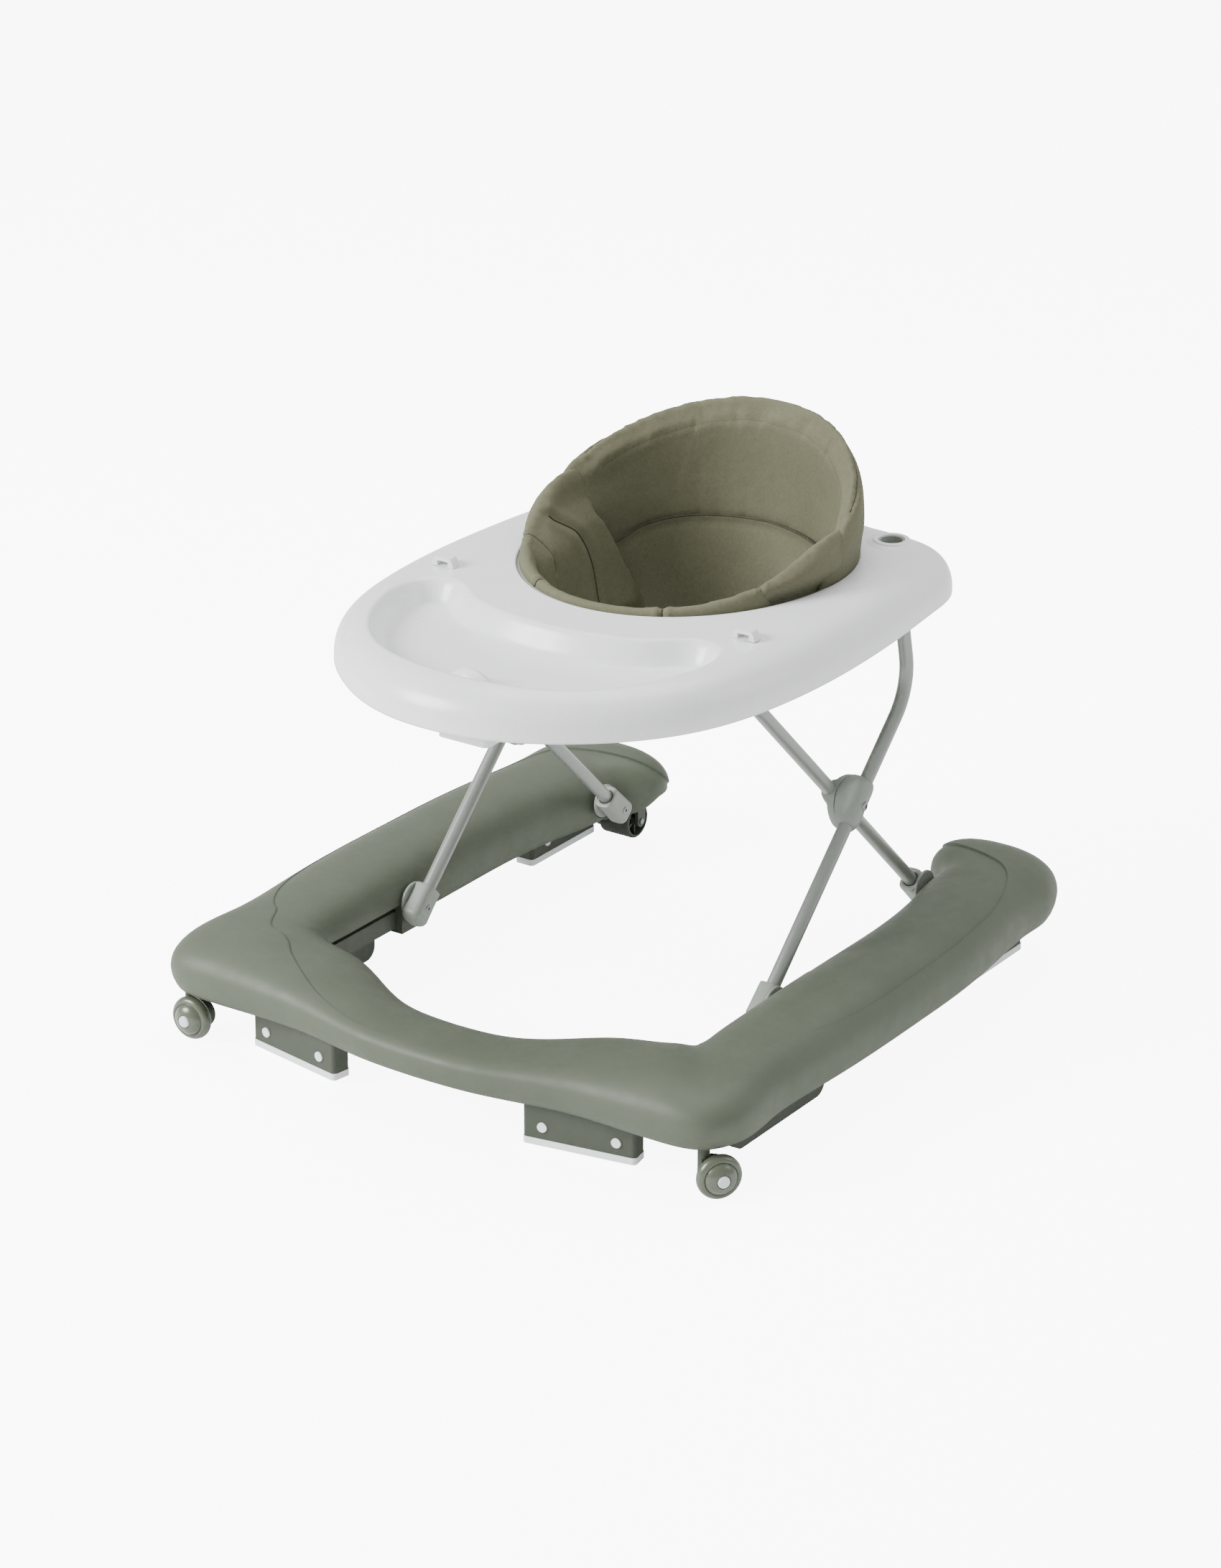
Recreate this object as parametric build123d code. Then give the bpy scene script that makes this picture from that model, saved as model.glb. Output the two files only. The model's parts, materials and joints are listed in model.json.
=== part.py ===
from build123d import *
import math
import os

# Baby walker: a U-shaped moulded base on casters and wheels, a crossed tube frame that
# folds down, and a tray that carries the fabric seat. All sizes are in millimetres.
# +Z is up, the front crossbar faces -Y, and the origin is on the floor under the middle.

# Base moulding
base_low = 48.0            # height of the moulding's lower edge above the floor
base_wall = 3.0
edge_tuck = 6.0            # how far the outer lower edge tucks in under the bulge
bulge_z = 66.0             # height of the widest part of the side walls
arm_start_y = -150.0       # joint between crossbar and arms
cap_start_y = 264.0        # joint between arms and rear caps

# Scissor frame
tube_r = 6.75
tube_wall = 1.2
rear_pivot_y = 244.0
front_pivot_y = -61.0
pivot_z = 64.5
cross_z = 212.0
cross_y = (rear_pivot_y + front_pivot_y) / 2
rear_leg_x = 177.6
front_leg_x = 195.8
cross_tube_z = 370.0       # top of the rear-foot tubes, under the tray
tray_pivot_y = 164.7
tray_pivot_z = 380.0
leg_bend_reach = 126.0     # from the crossing to the bend of the front-foot tubes
pin_r = 4.0
run_gap = 0.05             # running clearance of a pin, on the radius
side_gap = 0.4             # clearance between bodies that pass each other

# Guide rails
rail_x = 215.0
rail_t = 8.0
rail_low = 41.0
rail_high = 59.0
rail_front_y = -184.0
rail_back_y = -28.0
window_top = 67.0          # lower edge of the arm's inner wall over the rail

# Wheels
caster_x = 286.5
caster_y = -294.5
caster_r = 21.0
caster_side = 13.0         # wheel centre beside the stem, along the axle
caster_trail = 10.0        # wheel centre behind the stem
stem_r = 5.5
right_caster_turn = -35.6
left_caster_turn = -90.0
rear_wheel_r = 19.0
rear_wheel_x = 221.0
rear_wheel_w = 36.0
rear_wheel_y = 318.0
axle_r = 3.0

# Tray
tray_low = 372.0
tray_top = 414.0
tray_wall = 3.0
hole_centre_y = 110.0
hole_x = 155.0
hole_front = 180.0
hole_rear = 158.0
recess_floor = 392.0
boss_x = 139.0
boss_y = 238.0
boss_hole_r = 12.4
boss_top = 418.0

# Seat
seat_gap = 4.0             # fabric stands this far inside the tray's opening
pad_thick = 15.0
seat_low = 238.0

nodes = {}


def keep(name, shape):
    nodes[name] = shape


def keep_pair(name, shape):
    """Keep a right-hand piece and its mirror image on the left."""
    keep("right_" + name, shape)
    keep("left_" + name, mirror(shape, about=Plane.YZ))


def join(*solids):
    """Fuse touching solids into one."""
    total = solids[0]
    for solid in solids[1:]:
        total = total + solid
    return total


def both(shape):
    """The same piece on both sides, as two separate solids."""
    return Compound(children=[shape, mirror(shape, about=Plane.YZ)])


def block(x0, x1, y0, y1, z0, z1):
    size = (x1 - x0, y1 - y0, z1 - z0)
    return Pos((x0 + x1) / 2, (y0 + y1) / 2, (z0 + z1) / 2) * Box(*size)


def rod(x0, x1, y, z, r):
    """A cylinder along X."""
    return Pos((x0 + x1) / 2, y, z) * Rot(0, 90, 0) * Cylinder(r, x1 - x0)


def post(x, y, z0, z1, r):
    """A cylinder along Z."""
    return Pos(x, y, (z0 + z1) / 2) * Cylinder(r, z1 - z0)


def along(start, end, r):
    """A cylinder from start to end."""
    a, b = Vector(*start), Vector(*end)
    d = b - a
    place = Plane(origin=a, z_dir=d)
    return place * Pos(0, 0, d.length / 2) * Cylinder(r, d.length)


# ---------------------------------------------------------------- base moulding

# Right half, from the middle of the crossbar round the corner and down the arm:
# inner point, outer point, height of the crown.
base_stations = [
    ((0, -262), (0, -336), 80),
    ((60, -255), (60, -333), 81),
    ((105, -233), (108, -325), 85),
    ((146, -211), (152, -319), 91),
    ((184, -202), (204, -318), 96),
    ((200, -197), (256, -318), 99),
    ((206, -191), (296, -308), 97),
    ((208.5, -183), (314, -275), 97),
    ((208.5, -165), (312, -215), 98),
    ((208.5, -130), (313, -140), 100),
    ((208.5, -60), (316, -60), 102),
    ((208.5, 30), (316, 30), 102),
    ((208, 110), (314, 110), 102),
    ((201, 180), (307, 180), 103),
    ((193, 235), (301, 235), 104),
    ((191, 264), (299, 264), 104),
]
cap_stations = [
    ((161, 264.2), (300, 264.2), 106),
    ((157, 282), (298, 282), 106),
    ((156.5, 300), (293, 300), 103),
    ((164, 317), (284, 317), 97),
    ((180, 329), (270, 329), 88),
    ((200, 336), (253, 336), 76),
]


def arch(p_in, p_out, crown, wall=0.0):
    """Closed section of the moulding in the upright plane through its two edges."""
    a, b = Vector(*p_in, 0), Vector(*p_out, 0)
    across = (b - a).normalized()
    a, b = a + across * wall, b - across * wall
    half = (b - a).length / 2
    middle = (a + b) * 0.5
    low = base_low - (12.0 if wall else 0.0)
    top = crown - wall
    points = [a + across * 2.0 + Vector(0, 0, low)]
    for step in range(9):
        angle = math.pi * (1 - step / 8)
        side = math.copysign(abs(math.cos(angle)) ** 0.85, math.cos(angle))
        rise = math.sin(angle) ** 0.85 if 0 < step < 8 else 0.0
        lift = Vector(0, 0, bulge_z + (top - bulge_z) * rise)
        points.append(middle + across * (half * side) + lift)
    points.append(b - across * edge_tuck + Vector(0, 0, low))
    return Wire([Edge.make_spline(points), Edge.make_line(points[-1], points[0])])


def mirrored(stations):
    return [((-a[0], a[1]), (-b[0], b[1]), top) for a, b, top in reversed(stations)]


def base_body(wall=0.0):
    rows = mirrored(base_stations[1:]) + base_stations
    return Solid.make_loft([arch(a, b, top, wall) for a, b, top in rows])


def cap_body(wall=0.0):
    rows = cap_stations
    if wall:
        (x0, y0), (x1, y1), top = rows[0]
        rows = [((x0, y0 - 3), (x1, y1 - 3), top)] + rows[1:-1]
    return Solid.make_loft([arch(a, b, top, wall) for a, b, top in rows])


def make_base():
    shell = base_body() - base_body(base_wall)
    arm_zone = block(150, 400, arm_start_y, cap_start_y + 30, 0, 150)
    bar_zone = block(-400, 400, -400, arm_start_y, 0, 150)
    arm = shell & arm_zone
    arm -= block(195, 224, rail_front_y - 4, rail_back_y + 4, 30, window_top)
    arm -= rod(180, 212, rear_pivot_y, pivot_z, 15.0)
    bar = shell & bar_zone
    rail_slots = block(195, 224, rail_front_y - 2, arm_start_y, 30, window_top)
    bar -= rail_slots + mirror(rail_slots, about=Plane.YZ)
    cap = cap_body() - cap_body(base_wall)
    keep("front_crossbar", bar)
    keep_pair("side_arm", arm)
    keep_pair("rear_end_cap", cap)


def make_rails():
    rail = block(rail_x, rail_x + rail_t, rail_front_y, rail_back_y, rail_low, rail_high)
    stop = block(rail_x + 2, rail_x + 14, rail_back_y, rail_back_y + 14, rail_low, 78)
    pad = block(rail_x + 2, rail_x + 14, rail_front_y, rail_front_y + 6, rail_low, 78)
    keep_pair("guide_rail", join(rail, stop, pad))
    outer = block(236, 275, -228, -80, 8, 58)
    outer = fillet(outer.edges().filter_by(Axis.X), 13)
    inner = block(238.5, 272.5, -225.5, -82.5, 10.5, 70)
    keep_pair("rail_housing", outer - inner)


def make_pivot_bosses():
    boss = rod(188.2 + side_gap, 206, rear_pivot_y, pivot_z, 14.6)
    boss = boss - rod(188, 210, rear_pivot_y, pivot_z, pin_r)
    keep("rear_pivot_bosses", both(boss))
    pin = rod(165.4, 206, rear_pivot_y, pivot_z, pin_r)
    head = rod(162.6, 165.4, rear_pivot_y, pivot_z, 5.6)
    keep("rear_pivot_pins", both(pin + head))


# ---------------------------------------------------------------- stoppers

def make_stoppers():
    angle = 9.9
    place = Pos(159.8, -302.5, 0) * Rot(0, 0, angle)
    body = place * block(-55, 55, 0, 20, 12, 70)
    body = fillet(body.edges().filter_by(Axis.Z), 4) - place * block(-52, 52, 3, 17, 15, 80)
    strip = place * block(-55.4, 55.4, -0.6, 20.4, 5.5, 12)
    strip = fillet(strip.edges().filter_by(Axis.Z), 4.2)
    keep_pair("front_stopper", body)
    keep_pair("front_grip_strip", strip)
    plug_line = [(-35.5, 24.0), (36.5, 24.0)]
    plugs = [place * Pos(x, -0.7, z) * Rot(90, 0, 0) * Cylinder(4.6, 1.4) for x, z in plug_line]

    rear = block(241, 262, 186, 296, 12, 62)
    rear = fillet(rear.edges().filter_by(Axis.Z), 4) - block(244, 259, 189, 293, 15, 80)
    rear_strip = block(240.5, 262.5, 185.5, 296.5, 5.5, 12)
    rear_strip = fillet(rear_strip.edges().filter_by(Axis.Z), 4.2)
    keep_pair("rear_stopper", rear)
    keep_pair("rear_grip_strip", rear_strip)
    plugs += [rod(239.6, 241, y, 24, 4.6) for y in (212.0, 270.0)]
    keep("stopper_plugs", both(Compound(children=plugs)))


# ---------------------------------------------------------------- wheels

def caster_place(x, turn):
    return Pos(x, caster_y, 0) * Rot(0, 0, turn)


def caster_parts():
    """Fork, wheel and axle of one caster: its stem on Z, its axle along X."""
    near = caster_side - 7.0
    hub = rod(-9.0, near - 0.4, caster_trail, caster_r, 14.5)
    hub = fillet(hub.edges().filter_by(GeomType.CIRCLE).sort_by(Axis.X)[0], 6)
    stem = post(0, 0, caster_r, 74, stem_r)
    neck = block(-5.0, near - 0.4, -4, caster_trail, caster_r, caster_r + 15)
    fork = join(hub, neck, stem) - rod(-12, 30, caster_trail, caster_r, axle_r)
    wheel_profile = make_face(Polyline((0, 0), (0, caster_r - 3), (3, caster_r)) +
                              Line((3, caster_r), (7, caster_r)) +
                              Spline((7, caster_r), (13, caster_r - 5), (16.5, 11), (18, 0)) +
                              Line((18, 0), (0, 0)))
    wheel = revolve(Plane.XY * wheel_profile, Axis.X)
    wheel = Pos(near, caster_trail, caster_r) * wheel
    bore = rod(near - 2, near + 30, caster_trail, caster_r, axle_r + run_gap)
    wheel = wheel - bore - rod(near + 15.5, near + 30, caster_trail, caster_r, 6.5)
    pin = rod(-8.0, near + 15.9, caster_trail, caster_r, axle_r)
    cap = rod(near + 15.9, near + 19.0, caster_trail, caster_r, 5.6)
    cap = fillet(cap.edges().filter_by(GeomType.CIRCLE).sort_by(Axis.X)[-1], 1.5)
    return fork, wheel, pin + cap


def make_casters():
    fork, wheel, axle = caster_parts()
    for side, x, turn in (("right", caster_x, right_caster_turn),
                          ("left", -caster_x, left_caster_turn)):
        place = caster_place(x, turn)
        keep(side + "_caster_fork", place * fork)
        keep(side + "_caster_wheel", place * wheel)
        keep(side + "_caster_axle", place * axle)
    socket = post(caster_x, caster_y, 50, 76, 9.5)
    socket -= post(caster_x, caster_y, 45, 74.5, stem_r + run_gap)
    keep("caster_sockets", both(socket))


def make_rear_wheels():
    x0, x1 = rear_wheel_x - rear_wheel_w / 2, rear_wheel_x + rear_wheel_w / 2
    y, z = rear_wheel_y, rear_wheel_r
    tyre = rod(x0, x1, y, z, rear_wheel_r)
    tyre = fillet(tyre.edges().filter_by(GeomType.CIRCLE), 2.5)
    tyre -= rod(x0 - 1, x1 - 4, y, z, rear_wheel_r - 3.5)
    hub = rod(x0 + 1, x1 - 2, y, z, 5.5)
    wheel = join(tyre, hub)
    for k in range(6):
        spoke = block(x0 + 4, x1 - 3, -1.0, 1.0, 4, rear_wheel_r - 2.5)
        wheel = wheel + Pos(0, y, z) * Rot(60 * k, 0, 0) * spoke
    wheel -= rod(x0 - 5, x1 + 5, y, z, axle_r + run_gap)
    keep_pair("rear_wheel", wheel)
    strut = block(x0 - 4.4, x0 - side_gap, y - 6, y + 7, z, 62)
    strut = strut + rod(x0 - 4.4, x0 - side_gap, y, z, 6)
    cheek = block(x1 + side_gap, x1 + 4.4, y - 16, y + 16, 9, 62)
    cheek = fillet(cheek.edges().filter_by(Axis.X).sort_by(Axis.Z)[:2], 6)
    bridge = block(x0 - 4.4, x1 + 4.4, y - 10, y + 7, 56, 62)
    bracket = join(strut, cheek, bridge) & block(150, 300, 200, 332, 0, 80)
    bracket = bracket - block(150, 300, 325, 340, 46, 80)
    bracket -= rod(x0 - 10, x1 + 10, y, z, axle_r)
    keep_pair("rear_wheel_bracket", bracket)
    keep("rear_axles", both(rod(x0 - 5.5, x1 + 5.0, y, z, axle_r)))


# ---------------------------------------------------------------- scissor frame

def unit(p, q):
    d = math.dist(p, q)
    return ((q[0] - p[0]) / d, (q[1] - p[1]) / d)


rear_pivot = (rear_pivot_y, pivot_z)
front_pivot = (front_pivot_y, pivot_z)
cross = (cross_y, cross_z)
up_forward = unit(rear_pivot, cross)
up_back = unit(front_pivot, cross)
cross_tube_y = cross_y + (cross_tube_z - cross_z) * up_forward[0] / up_forward[1]


def on_line(start, direction, distance, x):
    return (x, start[0] + direction[0] * distance, start[1] + direction[1] * distance)


def pipe(path, r, wall):
    """A tube carried along a path of lines and arcs."""
    place = Plane(origin=path @ 0, z_dir=path % 0)
    return sweep(place * Circle(r), path) - sweep(place * Circle(r - wall), path)


def make_rear_legs():
    foot = on_line(rear_pivot, up_forward, 15, rear_leg_x)
    top = (rear_leg_x, cross_tube_y, cross_tube_z)
    points = [foot, top, (-top[0], top[1], top[2]), (-foot[0], foot[1], foot[2])]
    path = FilletPolyline(*points, radius=38)
    keep("rear_leg_tube", pipe(path, tube_r, tube_wall))

    x0, x1 = rear_leg_x - 10.6, rear_leg_x + 10.6
    knuckle = rod(x0, x1, rear_pivot_y, pivot_z, 13.0)
    start = on_line(rear_pivot, up_forward, 0, rear_leg_x)
    end = on_line(rear_pivot, up_forward, 42, rear_leg_x)
    collar = along(start, end, 10.0)
    flange = rod(x1 - 3, x1, rear_pivot_y - 9, pivot_z + 9, 17.0)
    housing = join(knuckle, collar, flange)
    housing -= rod(x0 - 5, x1 + 5, rear_pivot_y, pivot_z, pin_r + run_gap)
    housing -= along(foot, on_line(rear_pivot, up_forward, 60, rear_leg_x), tube_r)
    keep_pair("rear_foot_housing", housing)


def cross_clamp(x, direction, x0, x1):
    """A saddle round the tube at the crossing, with its flat side at x0 or x1."""
    a = on_line(cross, direction, -24, x)
    b = on_line(cross, direction, 24, x)
    body = along(a, b, 11.0)
    disc = rod(x0, x1, cross_y, cross_z, 19.0)
    body = join(body, disc) & block(x0, x1, cross_y - 40, cross_y + 40, cross_z - 40, cross_z + 40)
    return body - along(on_line(cross, direction, -50, x), on_line(cross, direction, 50, x), tube_r)


def make_cross_clamps():
    split = (rear_leg_x + front_leg_x) / 2
    inner = cross_clamp(rear_leg_x, up_forward, rear_leg_x - 10, split - 0.2)
    outer = cross_clamp(front_leg_x, up_back, split + 0.2, front_leg_x + 10)
    screw_hole = rod(100, 300, cross_y, cross_z, 2.6)
    keep_pair("inner_cross_clamp", inner - screw_hole)
    keep_pair("outer_cross_clamp", outer - rod(100, 300, cross_y, cross_z, 2.5))
    nodes["rear_leg_tube"] = nodes["rear_leg_tube"] - rod(-300, 300, cross_y, cross_z, 2.6)
    screw = rod(rear_leg_x - 11.5, front_leg_x + 10, cross_y, cross_z, 2.5)
    head = rod(front_leg_x + 10, front_leg_x + 11.6, cross_y, cross_z, 4.6)
    foot_x = front_leg_x - 10.6
    foot_screw = rod(foot_x - 1.2, foot_x, front_pivot_y, pivot_z, 4.0)
    screws = [screw + head, foot_screw]
    keep("frame_screws", both(Compound(children=screws)))


def make_front_legs():
    foot = on_line(front_pivot, up_back, 15, front_leg_x)
    bend = on_line(cross, up_back, leg_bend_reach, front_leg_x)
    rise = unit(bend[1:], (tray_pivot_y, tray_pivot_z))
    top = on_line((tray_pivot_y, tray_pivot_z), rise, 6, front_leg_x)
    path = FilletPolyline(foot, bend, top, radius=60)
    tube = pipe(path, tube_r, tube_wall)
    tube -= rod(150, 250, tray_pivot_y, tray_pivot_z, 3.0 + run_gap)
    tube -= rod(150, 250, cross_y, cross_z, 2.5)
    keep_pair("front_leg_tube", tube)

    x0, x1 = front_leg_x - 10.6, front_leg_x + 11.2
    knuckle = rod(x0, x1, front_pivot_y, pivot_z, 14.0)
    start = on_line(front_pivot, up_back, 0, front_leg_x)
    end = on_line(front_pivot, up_back, 34, front_leg_x)
    collar = along(start, end, 10.2)
    flange = rod(x1 - 3, x1, front_pivot_y + 3, pivot_z + 3, 18.0)
    housing = join(knuckle, collar, flange)
    housing -= rod(x0 + 2, x1 + 5, front_pivot_y, pivot_z, pin_r + run_gap)
    housing -= along(foot, on_line(front_pivot, up_back, 60, front_leg_x), tube_r)
    keep_pair("front_foot_housing", housing)


def make_sliders():
    y0, y1 = front_pivot_y - 13, front_pivot_y + 13
    x0 = front_leg_x + 11.2 + side_gap
    x1 = rail_x - side_gap
    plate = block(x0, x1, y0, y1, rail_low - 4.5, window_top - side_gap)
    upper = block(x0, rail_x + rail_t + 1, y0, y1, rail_high + side_gap, rail_high + 5.5)
    lower = block(x0, rail_x + rail_t + 1, y0, y1, rail_low - 4.5, rail_low - side_gap)
    pin = rod(front_leg_x - 7.5, x0, front_pivot_y, pivot_z, pin_r)
    keep_pair("slider_shoe", join(plate, upper, lower, pin))


# ---------------------------------------------------------------- tray

# Right half of the tray's lower edge, from the middle of the front to the middle of the back
tray_edge = [
    (0, -303), (45, -298), (86, -283), (128, -256), (163, -224), (190, -187), (210, -140),
    (222, -80), (227, -15), (226, 55), (220, 130), (212, 195), (202, 244), (178, 276),
    (134, 291), (70, 296), (0, 299),
]
# Right half of the play recess
recess_edge = [
    (0, -262), (50, -256), (95, -238), (132, -206), (156, -165), (166, -122), (156, -88),
    (132, -84), (104, -104), (62, -122), (0, -130),
]


def closed_loop(half):
    left = [(-x, y) for x, y in reversed(half[1:-1])]
    return half + left


def shrink(points, amount):
    """Move each point of a closed loop inwards by the same amount."""
    moved = []
    count = len(points)
    for i, (x, y) in enumerate(points):
        (xa, ya), (xb, yb) = points[i - 1], points[(i + 1) % count]
        length = math.dist((xa, ya), (xb, yb))
        moved.append((x - (yb - ya) / length * amount, y + (xb - xa) / length * amount))
    return moved


def ring(points, z):
    return Wire([Edge.make_spline([Vector(x, y, z) for x, y in points], periodic=True)])


def slab(points, z0, z1):
    return extrude(Face(ring(points, z0)), z1 - z0)


def seat_loop(inset):
    """The tray's opening: half an ellipse in front, a shorter one behind."""
    loop = []
    for step in range(32):
        angle = 2 * math.pi * step / 32 - math.pi / 2
        reach = hole_rear if math.sin(angle) > 0 else hole_front
        x = (hole_x - inset) * math.cos(angle)
        loop.append((x, hole_centre_y + (reach - inset) * math.sin(angle)))
    return loop


def dome(wall):
    """The tray's outer skin: its edge drawn in and lifted, ring by ring."""
    loop = closed_loop(tray_edge)
    rows = [(0, 0), (0.5, 10), (4, 22), (12, 32), (24, 38.5), (38, 42)]
    wires = []
    if wall:
        wires.append(ring(shrink(loop, wall), tray_low - 8))
    for inset, lift in rows:
        drop = wall if lift > 20 else 0.0
        wires.append(ring(shrink(loop, inset + wall), tray_low + lift - drop))
    return Solid.make_loft(wires)


def make_tray():
    shell = dome(0) - dome(tray_wall)
    recess = closed_loop(recess_edge)
    tub = slab(shrink(recess, -tray_wall), recess_floor - tray_wall, tray_top - 2)
    collar = slab(seat_loop(-tray_wall), tray_low + 14, tray_top - 1)
    shell = join(shell, tub, collar)
    for side in (1, -1):
        boss = Pos(side * boss_x, boss_y, 0) * post(0, 0, tray_low + 26, boss_top, boss_hole_r + 4.6)
        shell = shell + boss
    shell -= slab(recess, recess_floor, tray_top + 20)
    shell -= slab(seat_loop(0), tray_low - 30, tray_top + 30)
    for side in (1, -1):
        shell -= Pos(side * boss_x, boss_y, 0) * post(0, 0, 300, 500, boss_hole_r)
    keep("tray_shell", shell)

    x, y = 166.0, -52.0
    dome_r = 13.0
    anchor = Pos(x, y, tray_top - 0.5) * Sphere(dome_r)
    anchor = anchor & block(x - 20, x + 20, y - 4.5, y + 20, tray_top + 0.2, tray_top + 9)
    anchor -= block(x - 6.0, x + 6.0, y - 20, y + 30, tray_top + 0.6, tray_top + 5.4)
    keep("toy_anchors", both(anchor))

    y0, y1 = tray_pivot_y - 11, tray_pivot_y + 11
    a, b = front_leg_x - tube_r, front_leg_x + tube_r
    cheeks = block(a - 4.6, a - side_gap, y0, y1, tray_low, 390)
    cheeks += block(b + side_gap, b + 3.0, y0, y1, tray_low, 390)
    bridge = block(a - 4.6, b + 3.0, y0, y1, 389.6, 392.4)
    stalk = block(a - 4.6, a + 4, y0, y1, 392.4, 402)
    pin = rod(a - 4.6, b + 3.0, tray_pivot_y, tray_pivot_z, 3.0)
    keep("tray_pivot_brackets", both(join(cheeks, bridge, stalk, pin)))

    track = block(100, 106, -208, -62, cross_tube_z + tube_r + 0.5, recess_floor - tray_wall)
    keep("height_adjuster_tracks", both(track))


def make_height_lock():
    outer = block(-27, 27, -253, -196, 343, 388)
    outer = fillet(outer.edges().filter_by(Axis.Z), 5)
    inner = block(-24.5, 24.5, -250.5, -198.5, 345.5, 400)
    window = block(-15, 15, -200, -190, 350, 366)
    tube_notch = block(-30, 30, -206, -180, 355.5, 400)
    keep("height_lock_housing", outer - inner - window - tube_notch)
    tongue = block(-14.5, 14.5, -236, -190, 350.5, 354.5)
    grip = block(-14.5, 14.5, -190, -184, 342, 354.5)
    grip = fillet(grip.edges().filter_by(Axis.X), 2)
    keep("height_release_lever", join(tongue, grip))


# ---------------------------------------------------------------- seat

def band(inset, thick, z0, z1):
    return slab(seat_loop(inset), z0, z1) - slab(seat_loop(inset + thick), z0 - 1, z1 + 1)


def make_seat():
    hoop = band(0.4, 3.2, tray_low + 16, tray_top - 2)
    keep("seat_hoop", hoop)

    # Back: tall behind, sloping down to the sides
    back = band(seat_gap, pad_thick, 398, 560)
    side_view = make_face(Polyline((70, 390), (70, 449), (110, 462), (150, 482), (190, 500),
                                   (225, 513), (280, 521), (280, 390), (70, 390)))
    profile = Plane.YZ.offset(-200) * side_view
    back = back & extrude(profile, 400)
    keep("seat_back_pad", back)

    front = band(seat_gap, pad_thick, 398, 421) & block(-200, 200, -120, -20, 300, 500)
    keep("seat_front_pad", front)

    wing_band = band(seat_gap, pad_thick, 398, 470)
    wing_view = make_face(Polyline((-19.5, 390), (-19.5, 422), (15, 427), (40, 437), (69.5, 449),
                                   (69.5, 390), (-19.5, 390)))
    wing_zone = extrude(Plane.YZ.offset(20) * wing_view, 180)
    keep_pair("seat_side_wing", wing_band & wing_zone)

    def bowl(inset, drop):
        rows = [(397.5, 4.6, 0), (350, 22, 4), (300, 52, 6), (262, 84, 4), (seat_low + 3, 112, 2)]
        wires = []
        for z, inward, shift in rows:
            loop = [(x, y + shift) for x, y in seat_loop(inward + inset)]
            wires.append(ring(loop, z + drop * (z < 250)))
        return Solid.make_loft(wires)

    lid = slab(seat_loop(20), 397, 410)
    sling = bowl(0, 0) - bowl(2.5, 3.5) - lid
    leg = post(68, 22, 200, 352, 46)
    sling = sling - leg - mirror(leg, about=Plane.YZ)
    keep("seat_sling", sling)


def write_parts():
    os.makedirs("parts", exist_ok=True)
    for name, shape in nodes.items():
        solids = shape.solids()
        whole = solids[0] if len(solids) == 1 else Compound(children=list(solids))
        export_step(whole, f"parts/{name}.step")


make_base()
make_rails()
make_pivot_bosses()
make_stoppers()
make_casters()
make_rear_wheels()
make_rear_legs()
make_front_legs()
make_cross_clamps()
make_sliders()
make_tray()
make_height_lock()
make_seat()
write_parts()
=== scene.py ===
import bpy
import bmesh
import json
import math
import numpy as np
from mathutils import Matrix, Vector
from mathutils.bvhtree import BVHTree


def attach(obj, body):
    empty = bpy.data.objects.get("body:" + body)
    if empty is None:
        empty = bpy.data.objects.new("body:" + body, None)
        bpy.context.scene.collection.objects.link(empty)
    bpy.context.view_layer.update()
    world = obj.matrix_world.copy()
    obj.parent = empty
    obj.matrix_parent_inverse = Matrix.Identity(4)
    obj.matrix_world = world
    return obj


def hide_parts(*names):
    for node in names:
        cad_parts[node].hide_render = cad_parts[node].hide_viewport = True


# Baby walker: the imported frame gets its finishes, and the moulded, turned and padded
# pieces are made again as smooth surfaces. Lengths are in metres.

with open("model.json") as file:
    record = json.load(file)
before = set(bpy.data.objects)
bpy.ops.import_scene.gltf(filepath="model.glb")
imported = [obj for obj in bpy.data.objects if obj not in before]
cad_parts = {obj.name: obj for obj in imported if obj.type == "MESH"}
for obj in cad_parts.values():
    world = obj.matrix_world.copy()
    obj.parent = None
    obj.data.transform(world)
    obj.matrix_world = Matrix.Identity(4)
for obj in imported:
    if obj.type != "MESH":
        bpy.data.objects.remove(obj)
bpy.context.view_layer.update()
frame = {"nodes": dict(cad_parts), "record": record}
nodes = frame["nodes"]
mm = 0.001
sides = (("right", 1), ("left", -1))      # each side's name and the sign of its x
print("frame loaded:", len(nodes), "nodes")


# Curves and surfaces

def runOf(points):
    # distance along a line of points from its start
    return np.concatenate([[0], np.cumsum(np.linalg.norm(np.diff(points, axis=0), axis=1))])


def wholeTurn(count):
    return np.linspace(0, 2 * math.pi, count, endpoint=False)


def squared(wave, power):
    # a sine or cosine flattened towards its peaks, so that its circle turns into a rounded box
    return np.sign(wave) * np.abs(wave) ** power


def unit(v):
    # each vector made one long
    return v / np.linalg.norm(v, axis=-1, keepdims=True)


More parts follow.
